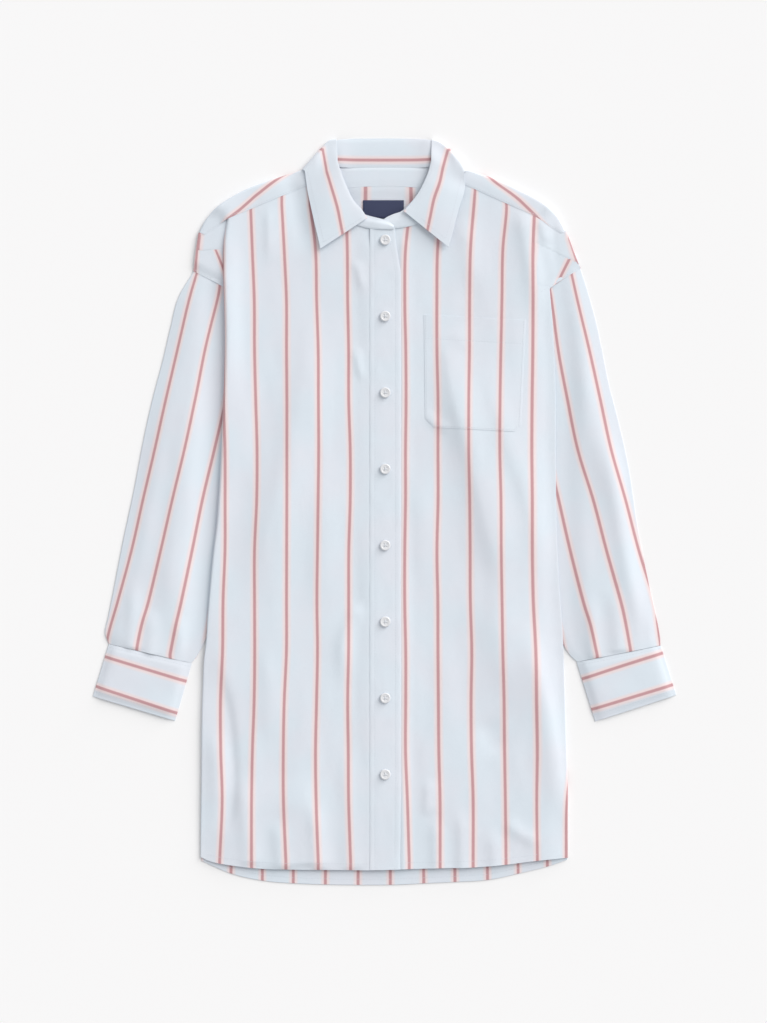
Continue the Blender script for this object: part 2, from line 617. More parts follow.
HIDDEN_SLEEVES = [hidden_sleeve(side) for side in SIDES]


def back_top(x, y):
    """Upper face of the back, which the sleeves below it lift off the surface."""
    distance = np.minimum(*[outside(x, y, outline) for outline in HIDDEN_SLEEVES])
    lift = (PRESSED_SLEEVE + GAP) * fall(distance, *SLEEVE_LIFT)
    at_neck = ramp(y, *NECK_RISE_Y) * fall(np.abs(x), *NECK_RISE_END_X)
    return lift + PANEL_GAUGE + NECK_RISE * at_neck


def side_swell(x, y):
    """How the body stands up towards the folds at its two sides."""
    total = 0
    for side in SIDES:
        ys, heights = SIDE_SWELL[side]
        distance = np.abs(x - side_x(side, y))
        total = total + np.interp(y, ys, heights) * np.exp(-((distance / SIDE_SWELL_WIDTH) ** 2))
    return total


def body_rest(y):
    """The level of the fronts before creases, on which the placket and buttons sit."""
    return BODY_TOP - HEM_DROP * fall(y, HEM_Y, HEM_SINK_LENGTH)


def body_top(x, y, depth=1.0):
    """Outer face of the fronts, which rise to the edges of the placket on both sides."""
    from_placket = np.abs(x - PLACKET_MIDDLE_X)
    loose = ramp(from_placket, *PLACKET_HOLD) * ramp(np.hypot(x, y - NECK_CENTRE_Y), *NECK_HOLD)
    folds = relief(BODY_CREASES, x, y, depth) + side_swell(x, y)
    flush = FLUSH_RISE * ramp(from_placket, *FLUSH_START) * fall(from_placket, *FLUSH_END)
    free = body_rest(y) + loose * folds + flush * fall(y, *FLUSH_TOP_Y)
    return soft_max(free, back_top(x, y) + LEAST_GAP + PANEL_GAUGE)


def sleeve_top(side, x, y, d, length, depth=1.0):
    """Upper face of a sleeve, some way in from the outer edge of a ring of a given length."""
    beyond = -DIRECTION[side] * (x - side_x(side, y))
    beside_body = ramp(beyond, *SLEEVE_RISE)
    crown = ease(d / SLEEVE_CROWN_WIDTH) * ease((length - d) / SLEEVE_CROWN_WIDTH)
    folds = relief(SLEEVE_CREASES[side], x, y, depth)
    pressed = mix(EDGE_GAUGE, PRESSED_SLEEVE, ease(np.minimum(d, length - d) / EDGE_WIDTH))
    return pressed + beside_body * crown * np.maximum(SLEEVE_LOFT + folds, LEAST_LOFT)


def yoke_lift(x, y):
    """How far the fall of the collar below it lifts the yoke."""
    return (CRISP_GAUGE + GAP) * fall(outside(x, y, FALL_OUTLINE), *FALL_LIFT)


def shoulder_top(x, y, depth=1.0):
    """Outer face of the yoke along its front seam, down to the dropped shoulder."""
    beyond = ramp(np.abs(x), *CAP_JOIN_X)
    step = SEAM_STEP - YOKE_STEP_LOSS * ramp(np.abs(x), *YOKE_STEP_LOSS_X)
    return mix(body_top(x, y, depth), shoulder_face(x, y, depth), beyond) + step


def back_seam_y(x):
    """The seam of the yoke across the back, bowed down towards its ends."""
    return YOKE_BACK_SEAM_Y - YOKE_SEAM_BOW * np.square(x)


# Stripes

STRIPE_PITCH = 35.0


def stripe_number(x, y, lines):
    """Counts stripes from the first line, so that each line is at a whole number."""
    xs = []
    for line_y, line_x in lines:
        smooth = rounded(list(zip(line_x, line_y)))
        xs.append(np.interp(y, smooth[:, 1], smooth[:, 0]))
    number = np.minimum(x - xs[0], 0) / STRIPE_PITCH + np.maximum(x - xs[-1], 0) / STRIPE_PITCH
    for left, right in zip(xs[:-1], xs[1:]):
        number = number + np.clip((x - left) / (right - left), 0, 1)
    return number


def marks_from(number, along):
    """Stripe number and place along the stripe, both in stripe pitches."""
    return np.stack([number, along / STRIPE_PITCH + 0 * number], -1)


# Meshes

def normals_of(grid, tube):
    """Unit normals of a grid of places, whose rows close on themselves in a tube."""
    if tube:
        along = np.roll(grid, -1, 1) - np.roll(grid, 1, 1)
    else:
        along = np.gradient(grid, axis=1)
    normal = np.cross(along, np.gradient(grid, axis=0))
    return normal / np.maximum(np.linalg.norm(normal, axis=-1, keepdims=True), 1e-9)


RIM_MARGIN = 0.08  # share of the outermost cells in which the shading turns over the rim


def add_object(name, places, faces, material, marks=None):
    """Adds a smooth object that rides on the dress, from places in millimetres."""
    mesh = bpy.data.meshes.new(name)
    mesh.from_pydata((places * MM).tolist(), [], faces)
    if marks is not None:
        layer = mesh.uv_layers.new(name="cloth")
        layer.data.foreach_set("uv", marks.astype(np.float32).ravel())
    mesh.polygons.foreach_set("use_smooth", np.ones(len(mesh.polygons), bool))
    mesh.materials.append(material)
    mesh.update()
    piece = bpy.data.objects.new(name, mesh)
    bpy.context.scene.collection.objects.link(piece)
    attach(piece, "root")
    return piece


class ClothPiece:
    """Gathers closed shells of thin cloth, in millimetres, into one object."""

    def __init__(self, name):
        self.name = name
        self.places, self.marks, self.quads, self.mark_quads = [], [], [], []
        self.place_count = self.mark_count = 0

    def add(self, places, marks, quads, mark_quads):
        self.places.append(places)
        self.marks.append(marks)
        self.quads.append(quads + self.place_count)
        self.mark_quads.append(mark_quads + self.mark_count)
        self.place_count += len(places)
        self.mark_count += len(marks)

    @staticmethod
    def with_margins(grid, tube):
        """The grid with a further row close to each edge, so that shading turns only there."""
        def lined(rows):
            first = mix(rows[:1], rows[1:2], RIM_MARGIN)
            last = mix(rows[-1:], rows[-2:-1], RIM_MARGIN)
            return np.concatenate([rows[:1], first, rows[1:-1], last, rows[-1:]])

        grid = lined(grid)
        return grid if tube else lined(grid.swapaxes(0, 1)).swapaxes(0, 1)

    def shell(self, outer, marks, thickness, tube=False):
        """A wall that hangs inside its outer face, with rounded rims."""
        outer, marks = self.with_margins(outer, tube), self.with_margins(marks, tube)
        if tube:
            centre = outer.mean(1, keepdims=True)
            if np.sum(normals_of(outer, True) * (outer - centre)) < 0:
                outer, marks = outer[:, ::-1], marks[:, ::-1]
        normal = normals_of(outer, tube)
        inner = outer - normal * thickness
        rows, columns = outer.shape[:2]
        ids = np.arange(rows * columns).reshape(rows, columns)
        mark_ids = np.arange(marks.shape[0] * marks.shape[1]).reshape(marks.shape[:2])
        wrapped = np.hstack([ids, ids[:, :1]]) if tube else ids
        quads, mark_quads = [self.quads_of(wrapped)], [self.quads_of(mark_ids)]
        quads.append(quads[0][:, ::-1] + rows * columns)
        mark_quads.append(mark_quads[0][:, ::-1])
        places = [outer.reshape(-1, 3), inner.reshape(-1, 3)]
        count = 2 * rows * columns
        for ring, mark_ring in self.rims(wrapped, mark_ids, tube):
            i, j = np.divmod(ring[:-1], columns)
            inward_j = j if tube else np.clip(j, 1, columns - 2)
            neighbour = outer[np.clip(i, 1, rows - 2), inward_j]
            edge, under = outer[i, j], inner[i, j]
            away = edge - neighbour
            away -= normal[i, j] * np.sum(away * normal[i, j], -1, keepdims=True)
            away /= np.maximum(np.linalg.norm(away, axis=-1, keepdims=True), 1e-9)
            places.append((edge + under) / 2 + away * thickness / 2)
            rim = count + np.arange(len(ring) - 1)
            rim = np.append(rim, rim[0])
            count += len(ring) - 1
            a, b = ring[:-1], ring[1:]
            low = rows * columns
            quads.append(np.stack([b, a, rim[:-1], rim[1:]], -1))
            quads.append(np.stack([rim[1:], rim[:-1], a + low, b + low], -1))
            pair = np.stack([mark_ring[1:], mark_ring[:-1], mark_ring[:-1], mark_ring[1:]], -1)
            mark_quads += [pair, pair]
        self.add(np.vstack(places), marks.reshape(-1, 2), np.vstack(quads), np.vstack(mark_quads))

    @staticmethod
    def quads_of(ids):
        corners = [ids[:-1, :-1], ids[:-1, 1:], ids[1:, 1:], ids[1:, :-1]]
        return np.stack(corners, -1).reshape(-1, 4)

    @staticmethod
    def rims(ids, mark_ids, tube):
        """Closed rings of edge places, each with the ring of its marks."""
        if tube:
            return [(ids[0], mark_ids[0]), (ids[-1][::-1], mark_ids[-1][::-1])]

        def round_trip(grid):
            return np.concatenate([grid[0, :-1], grid[:-1, -1], grid[-1, :0:-1], grid[::-1, 0]])

        return [(round_trip(ids), round_trip(mark_ids))]

    def build(self, material, node):
        """The object, in place of its CAD node."""
        faces = np.vstack(self.quads).tolist()
        marks = np.vstack(self.marks)[np.vstack(self.mark_quads).ravel()]
        piece = add_object(self.name, np.vstack(self.places), faces, material, marks)
        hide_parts(node)
        return piece


def with_height(plan, height):
    """Places of a plan, each at its height."""
    return np.concatenate([plan, np.asarray(height)[..., None]], -1)


# Finishes

class Value:
    """A socket of a material. Arithmetic on it adds Math nodes."""

    def __init__(self, finish, socket):
        self.finish = finish
        self.socket = socket

    def __add__(self, other):
        return self.finish.maths("ADD", self, other)

    def __sub__(self, other):
        return self.finish.maths("SUBTRACT", self, other)

    def __rsub__(self, other):
        return self.finish.maths("SUBTRACT", other, self)

    def __mul__(self, other):
        return self.finish.maths("MULTIPLY", self, other)

    __radd__ = __add__


class Finish:
    """A material in the making."""

    def __init__(self, name):
        self.material = bpy.data.materials.new(name)
        self.material.use_nodes = True
        self.tree = self.material.node_tree
        self.shader = self.tree.nodes["Principled BSDF"]

    def node(self, kind, settings=None, inputs=None, output=0):
        """Adds one node: its settings first, then the values or links of its sockets."""
        node = self.tree.nodes.new(kind)
        for name, value in (settings or {}).items():
            if name == "stops":
                self.set_stops(node.color_ramp.elements, value)
            else:
                setattr(node, name, value)
        for key, value in (inputs or {}).items():
            if isinstance(value, Value):
                self.tree.links.new(value.socket, node.inputs[key])
            else:
                node.inputs[key].default_value = value
        return Value(self, node.outputs[output])

    @staticmethod
    def set_stops(elements, stops):
        while len(elements) < len(stops):
            elements.new(0.5)
        for element, (position, colour) in zip(elements, stops):
            element.position = position
            element.color = (*colour, 1)

    def maths(self, operation, *values):
        return self.node("ShaderNodeMath", {"operation": operation}, dict(enumerate(values)))

    def smooth_step(self, value, start, end):
        """0 at start, 1 at end and a smooth change between."""
        inputs = {"Value": value, "From Min": start, "From Max": end}
        return self.node("ShaderNodeMapRange", {"interpolation_type": "SMOOTHSTEP"}, inputs)

    def blend(self, factor, first, second):
        """A mix of two colours, each a Value or three numbers."""
        colours = [c if isinstance(c, Value) else (*c, 1) for c in (first, second)]
        inputs = {0: factor, 6: colours[0], 7: colours[1]}
        return self.node("ShaderNodeMix", {"data_type": "RGBA"}, inputs, 2)

    def noise(self, vector, scale, detail):
        inputs = {"Vector": vector, "Scale": scale, "Detail": detail}
        return self.node("ShaderNodeTexNoise", None, inputs)

    def set(self, **sockets):
        """Feeds the shader's own sockets, named with underscores for spaces."""
        for name, value in sockets.items():
            socket = self.shader.inputs[name.replace("_", " ")]
            if isinstance(value, Value):
                self.tree.links.new(value.socket, socket)
            else:
                socket.default_value = value

    def bump(self, height, distance):
        """Shades a relief of a height from 0 to 1 over a distance in metres."""
        inputs = {"Height": height, "Distance": distance, "Strength": 1.0}
        self.set(Normal=self.node("ShaderNodeBump", None, inputs))

    def place(self):
        """Where the shaded point lies on its object, in metres."""
        return self.node("ShaderNodeTexCoord", output=3)

    def cloth_marks(self):
        """The marks of the cloth: both as one vector, the stripe number, the place along it."""
        uv = self.node("ShaderNodeUVMap", {"uv_map": "cloth"})
        parts = self.node("ShaderNodeSeparateXYZ", None, {0: uv})
        return uv, parts, Value(self, parts.socket.node.outputs[1])


def plain_weave(finish, across, along, thread):
    """Height of a plain weave from 0 to 1, from places in stripe pitches."""
    turns = 2 * math.pi * STRIPE_PITCH / thread
    warp = finish.maths("SINE", across * turns)
    weft = finish.maths("SINE", along * turns)
    return warp * weft * 0.5 + 0.5


def scaled(colour, *factors):
    """A colour with its channels multiplied, all by one factor or each by its own."""
    return tuple(channel * factor for channel, factor in zip(colour, factors * (3 // len(factors))))


# Shares and lengths of the weave in millimetres, reliefs in metres
STRIPE_WANDER = 0.006
TINT_RANGE = (0.35, 0.65)
COOL, WARM, CLOUDED = (0.978, 1.008, 1.012), (1.018, 0.99, 0.992), (0.93, 0.95, 0.97)
FLANK_SHARE = 0.36  # share of a flank's reach that keeps its full colour
CORE_BLUR = (0.9, 0.6)  # inwards and outwards
POPLIN_PITCH, LABEL_PITCH = 0.42, 0.35
POPLIN_RELIEF, THREAD_RELIEF, PEARL_RELIEF, LABEL_RELIEF = 0.00005, 0.00004, 0.00002, 0.00006


def poplin(colours):
    """Cotton poplin with a woven stripe, whose pale flanks frame a dark middle."""
    name = "striped_poplin"
    if name in bpy.data.materials:
        return bpy.data.materials[name]
    finish = Finish(name)
    uv, across, along = finish.cloth_marks()
    cloudy = finish.noise(uv, 3.0, 3.0)
    threads = finish.noise(uv, 90.0, 1.0)
    wander = (finish.noise(uv, 12.0, 1.0) - 0.5) * STRIPE_WANDER
    distance = finish.maths("PINGPONG", across + wander, 0.5) * STRIPE_PITCH
    place = finish.place()
    tint = finish.smooth_step(finish.noise(place, 14.0, 2.0), *TINT_RANGE)
    cool, warm, clouded = (scaled(colours.ground, *factors) for factors in (COOL, WARM, CLOUDED))
    ground = finish.blend(tint, cool, warm)
    ground = finish.blend(cloudy * 0.25, ground, clouded)
    ground = finish.blend(threads * 0.14, ground, (1.0, 1.0, 1.0))
    reach, half_width = colours.flank_reach, colours.core_reach
    flank = 1 - finish.smooth_step(distance, FLANK_SHARE * reach, reach)
    core = 1 - finish.smooth_step(distance, half_width - CORE_BLUR[0], half_width + CORE_BLUR[1])
    striped = finish.blend(flank, ground, tuple(colours.stripe_flank))
    striped = finish.blend(core * (threads * 0.3 + 0.85), striped, tuple(colours.stripe_core))
    finish.set(Base_Color=striped, Roughness=0.82 + cloudy * 0.08)
    finish.set(Sheen_Weight=0.12, Sheen_Roughness=0.5, Specular_IOR_Level=0.25)
    weave = plain_weave(finish, across, along, POPLIN_PITCH) + threads * 0.6
    finish.bump(weave, POPLIN_RELIEF)
    return finish.material


def sewing_thread(colours):
    """Matt twisted cotton thread."""
    finish = Finish("sewing_thread")
    place = finish.place()
    twist = finish.noise(place, 3000.0, 1.0)
    shade = finish.blend(twist * 0.5, scaled(colours.thread, 1), scaled(colours.thread, 0.86))
    finish.set(Base_Color=shade, Roughness=0.7 + twist * 0.1)
    finish.set(Sheen_Weight=0.2, Specular_IOR_Level=0.3)
    finish.bump(twist, THREAD_RELIEF)
    return finish.material


def pearl(colours):
    """Glossy mother-of-pearl resin with faint cloudy swirls."""
    finish = Finish("pearl_resin")
    place = finish.place()
    swirl = finish.noise(place, 260.0, 4.0)
    fine = finish.noise(place, 1400.0, 2.0)
    shade = finish.blend(swirl, scaled(colours.button, 1), scaled(colours.button, 0.84))
    shade = finish.blend(fine * 0.18, shade, (1.0, 0.96, 0.95))
    finish.set(Base_Color=shade, Roughness=0.2 + swirl * 0.14)
    finish.set(Coat_Weight=0.5, Coat_Roughness=0.12, Specular_IOR_Level=0.5)
    finish.bump(fine, PEARL_RELIEF)
    return finish.material


def woven_label(colours):
    """Dense satin-woven label, plain, with fine cross threads."""
    finish = Finish("woven_label_cloth")
    uv, across, along = finish.cloth_marks()
    weave = plain_weave(finish, across, along, LABEL_PITCH)
    soft = finish.noise(uv, 30.0, 2.0)
    shade = finish.blend(weave * 0.35, scaled(colours.label, 1), scaled(colours.label, 1.6))
    shade = finish.blend(soft * 0.3, shade, scaled(colours.label, 0.7))
    finish.set(Base_Color=shade, Roughness=0.62 + soft * 0.1)
    finish.set(Sheen_Weight=0.2)
    finish.bump(weave, LABEL_RELIEF)
    return finish.material


# Panels with a side fold

FOLD_PARTS = 10
RETURN_PARTS = 4
RETURN_WIDTH = 11
RETURN_WAVE = 0.15  # the turned side is slightly wavy
RETURN_WAVE_LENGTH = 17
ROLL_INSET = 2  # a fold is as high as the panel so far in from it
LEAST_ROLL = 0.3


def folded_panel(plan, top, floor, direction, number, turn=RETURN_WIDTH):
    """A panel whose outer side, its first column, rolls under and comes back beneath."""
    edge = plan[:, 0]
    rise = top(edge[:, 0] + direction * ROLL_INSET, edge[:, 1])
    low = floor(edge[:, 0], edge[:, 1])
    radius = np.maximum((rise - low) / 2, LEAST_ROLL)
    share = 1 - np.linspace(0, 1, plan.shape[1])
    x = plan[..., 0] + direction * radius[:, None] * share
    y = plan[..., 1]
    height = top(x, y)
    radius = (height[:, 0] - low) / 2
    angle = np.linspace(0, math.pi, FOLD_PARTS + 1)[1:]
    round_x = edge[:, :1] + direction * radius[:, None] * (1 - np.sin(angle))
    round_z = low[:, None] + radius[:, None] * (1 + np.cos(angle))
    reach = np.linspace(0, turn, RETURN_PARTS + 1)[1:]
    under_x = edge[:, :1] + direction * (radius[:, None] + reach)
    under_z = low[:, None] + RETURN_WAVE * np.sin(edge[:, 1:] / RETURN_WAVE_LENGTH + reach)
    fold_x = np.concatenate([round_x, under_x], 1)[:, ::-1]
    fold_z = np.concatenate([round_z, under_z], 1)[:, ::-1]
    arc = np.concatenate([radius[:, None] * angle, radius[:, None] * math.pi + reach], 1)[:, ::-1]
    fold = np.stack([fold_x, np.repeat(edge[:, 1:], fold_x.shape[1], 1), fold_z], -1)
    face = np.concatenate([fold, np.stack([x, y, height], -1)], 1)
    counted = number(x, y)
    counted = np.concatenate([counted[:, :1] - direction * arc / STRIPE_PITCH, counted], 1)
    marks = marks_from(counted, face[..., 1])
    if direction < 0:
        face, marks = face[:, ::-1], marks[:, ::-1]
    return face, marks


def tucked(points, target, distance):
    """Points moved some way towards a target, to lie under what covers them."""
    points = np.asarray(points, float)
    away = np.asarray(target, float) - points
    return points + away * distance / np.linalg.norm(away, axis=1, keepdims=True)


SEAM_TUCK = 3.0
SEAM_STEP = 0.36
NECK_TUCK = 4.0
NECK_MIDDLE = (0, 345)
ARMHOLE_LENGTH = 140
ARMHOLE_RAMP = 12
CAP_SIZES = {"right": (60, 36), "left": (60, 62)}  # length and width of the dropped shoulders
CAP_UNEVENNESS = 0.4
CAP_GAP = 0.3
CAP_SOFTNESS = 0.3
CAP_LAP = 0.12
CAP_BLEND_X = (-2, 14)  # start and width, outwards from the side fold
COVER_SINK = 1.0
COVER_SINK_X = (12, 8)  # start and width, inwards from the side fold
COVER_EDGE_X = (-2, 4)
COVER_SINK_Y = (240, 8)
LAYER_RISE = 0.1
LAYER_DROP = 1.1
LAYER_DROP_WIDTH = 2.4
PANEL_GAP = 0.2


def seam_points(side):
    """The top of a front under the seam of the yoke, from the neck outwards."""
    return [(x, y + SEAM_TUCK) for (x, y), _, _ in YOKE_STATIONS[side]]


def front_plan(side, step):
    """The visible part of a front, from its side fold to the placket."""
    hem = FRONT_HEMS[side]
    neck = tucked(FRONT_NECKS[side], NECK_MIDDLE, NECK_TUCK)
    neck[-1, 0] = FRONT_NECKS[side][-1][0]
    seam = seam_points(side)[SIDE_FOLD_STATION::-1]
    width = abs(hem[0][0] - hem[-1][0])
    height = seam[0][1] - hem[0][1]
    rows, columns = steps(height, step), steps(width, step)
    upper = np.vstack([rounded(seam), rounded(neck)])
    ys = np.linspace(hem[0][1], seam[0][1], rows)
    fold = by_height([hem[0], *side_points(side)[1:], seam[0]], ys)
    inner = np.linspace(hem[-1], neck[-1], rows)
    return plan_between(curve(hem, columns), spaced(upper, columns), fold, inner)


def cap_plan(side, step):
    """The dropped shoulder beyond the side fold, down to the armhole."""
    edge, inner = CAPS[side]["edge"], CAPS[side]["inner"]
    seam = seam_points(side)[:SIDE_FOLD_STATION:-1]
    lower = [edge[-1], CAPS[side]["inner_end"], *inner[:-1]]
    rows, columns = (steps(length, step) for length in CAP_SIZES[side])
    return plan_between(
        spaced(lower, columns),
        spaced([edge[0], *seam, inner[-1]], columns),
        curve(edge[::-1], rows),
        spaced([lower[-1], inner[-1]], rows),
    )


def cap_top(x, y):
    """Upper face of the dropped shoulders, which comes down to the sleeves at the armholes."""
    free = CAP_TOP + CAP_UNEVENNESS * unevenness(x, y, 14, 26, 9)
    top = soft_max(free, back_top(x, y) + CAP_GAP + PANEL_GAUGE, CAP_SOFTNESS)
    for side in SIDES:
        outer, inner = CAPS[side]["edge"][-1], CAPS[side]["inner_end"]
        distance, _, along = to_segment(x, y, outer, inner)
        d = along * math.dist(outer, inner)
        level = sleeve_top(side, x, y, d, ARMHOLE_LENGTH) + SEAM_STEP
        top = mix(top, level, ease(1 - distance / ARMHOLE_RAMP) * (DIRECTION[side] * x < 0))
    return top


def shoulder_face(x, y, depth=1.0):
    """The dropped shoulders, of which the left runs on smoothly from its front."""
    fold = side_x("left", y)
    front = body_top(np.minimum(x, fold), y, depth) + CAP_LAP
    cap = cap_top(x, y)
    return np.where(x > 0, mix(front, cap, ramp(x - fold, *CAP_BLEND_X)), cap)


def shoulder_cover(x, y, depth=1.0):
    """The same, sunk below the left front where the two shells overlap."""
    inward = side_x("left", y) - x
    beside = fall(y, *COVER_SINK_Y) * ramp(inward, *COVER_EDGE_X)
    sink = np.maximum(ramp(inward, *COVER_SINK_X), beside)
    return shoulder_face(x, y, depth) - COVER_SINK * sink * (x > 0)


def shoulder_layer(side, x, y, depth, upper):
    """One of the two layers of a dropped shoulder, of which the upper ends at a soft fold."""
    top = shoulder_cover(x, y, depth)
    if not upper:
        return top
    (start_x, start_y), (end_x, end_y) = CAP_FOLDS[side]
    fold_y = start_y + (x - start_x) * (end_y - start_y) / (end_x - start_x)
    return top + LAYER_RISE - LAYER_DROP * ease((fold_y - y) / LAYER_DROP_WIDTH)


def panel_floor(x, y):
    """The level that the turned sides of the fronts lie on."""
    return back_top(x, y) + PANEL_GAP


# Operators

PATCH_THICKNESS = 0.24


def sewn(context, name, node, *shells):
    """Adds a piece of striped poplin from its shells: outer face, marks, thickness, tube or not."""
    piece = ClothPiece(name)
    for shell in shells:
        piece.shell(*shell)
    return piece.build(poplin(context.scene.dress_colours), node)


def in_mm(value):
    return value / MM


class ClothOperator:
    """What the operators of all cloth pieces share."""

    bl_options = {"REGISTER", "UNDO"}

    def cloth(self, context):
        return in_mm(context.scene.dress_sizes.cloth_thickness)

    def crisp(self, context):
        return in_mm(context.scene.dress_sizes.crisp_thickness)

    def step(self, context):
        return in_mm(context.scene.dress_sizes.grid_step)

    def depth(self, context):
        return context.scene.dress_sizes.crease_depth


BACK_COARSENESS = 1.6
BACK_SIZE = (404, 624, 96)  # width, side to the underarm, armhole
BACK_STRIPE_Y = (-404.3, 357.0)
BACK_UNEVENNESS = 0.08
PLEAT_X = (-52, 58)
PLEAT_Y = (288, 357)
PLEAT_LIFT = 0.14
PLEAT_THICKNESS = 0.12


class DRESS_OT_back(ClothOperator, Operator):
    """Adds the back panel, with the inside of its centre pleat below the yoke"""

    bl_idname = "shirt_dress.back"
    bl_label = "Back"

    def execute(self, context):
        step = BACK_COARSENESS * self.step(context)
        columns, side_rows, armhole_rows = (steps(length, step) for length in BACK_SIZE)
        edges = {}
        for side, corner in zip(SIDES, (BACK_HEM[0], BACK_HEM[-1])):
            inset = side_points(side, DIRECTION[side] * BACK_INSET)[1:]
            beside = [place for place in inset if place[1] < UNDERARM_Y]
            lower = spaced([corner, *beside], side_rows)
            armhole = spaced([beside[-1], *BACK_ARMHOLES[side]], armhole_rows)
            edges[side] = np.vstack([lower[:-1], armhole])
        x = np.linspace(edges["right"][-1][0], edges["left"][-1][0], columns)
        seam = np.stack([x, back_seam_y(x) - GAP], -1)
        plan = plan_between(curve(BACK_HEM, columns), seam, edges["right"], edges["left"])
        x, y = plan[..., 0], plan[..., 1]
        lines = [(BACK_STRIPE_Y, (at_hem, at_yoke)) for at_yoke, at_hem in BACK_STRIPE_ENDS]
        marks = marks_from(stripe_number(x, y, lines), y)
        panel = with_height(plan, self.face(x, y)), marks, self.cloth(context)
        x, y = np.meshgrid(*[
            np.linspace(low, high, steps(high - low, step)) for low, high in (PLEAT_X, PLEAT_Y)
        ])
        closed = stripe_number(x, y, [lines[k] for k in PLEAT_NEIGHBOURS])
        raised = np.stack([x, y, self.face(x, y) + PLEAT_LIFT], -1)
        pleat = raised, marks_from(closed, y), PLEAT_THICKNESS
        back = sewn(context, "back_panel", "back", panel, pleat)
        return {"FINISHED"}

    @staticmethod
    def face(x, y):
        return back_top(x, y) + BACK_UNEVENNESS * unevenness(x, y, 40, 60, 21)


CAP_TURNS = (5, 2)  # how far the lower and the upper layer of a dropped shoulder turn under


class DRESS_OT_fronts(ClothOperator, Operator):
    """Adds both fronts, their side folds and the dropped shoulders beyond them"""

    bl_idname = "shirt_dress.fronts"
    bl_label = "Fronts"

    def execute(self, context):
        step, depth = self.step(context), self.depth(context)
        for side in SIDES:
            panels = [folded_panel(
                front_plan(side, step), lambda x, y: body_top(x, y, depth), panel_floor,
                DIRECTION[side], lambda x, y: stripe_number(x, y, FRONT_STRIPES[side]),
            )]
            for upper, (lines, turn) in enumerate(zip(CAP_STRIPES[side], CAP_TURNS)):
                panels.append(folded_panel(
                    cap_plan(side, step),
                    lambda x, y: shoulder_layer(side, x, y, depth, upper), panel_floor,
                    DIRECTION[side], lambda x, y: stripe_number(x, y, lines), turn,
                ))
            shells = [(*panel, self.cloth(context)) for panel in panels]
            front = sewn(context, f"front_{side}_panel", f"front_{side}", *shells)
        return {"FINISHED"}


SHOULDER_LENGTH = 150
SHOULDER_SHARES = (0, 0.04, 0.1, 0.2, 0.32, 0.44, 0.56, 0.68, 0.8, 0.9)  # seam to fold
SHOULDER_PUFF = 0.4
SHOULDER_FOLD_ROWS = 10
SHOULDER_UNDER_ROWS = 8
STRIP_DEPTH = 22
STRIP_TUCK = 4.5
STRIP_HEIGHT = 0.95
STRIP_SEAM_DIP = 0.3
STRIP_SEAM_WIDTH = 7
STRIP_EDGE_DROP = 1.3
STRIP_EDGE_Y = (376.2, 3.5)
STRIP_MARK_Y = (366, 90)  # the strip shows no stripe, so its marks stay between two


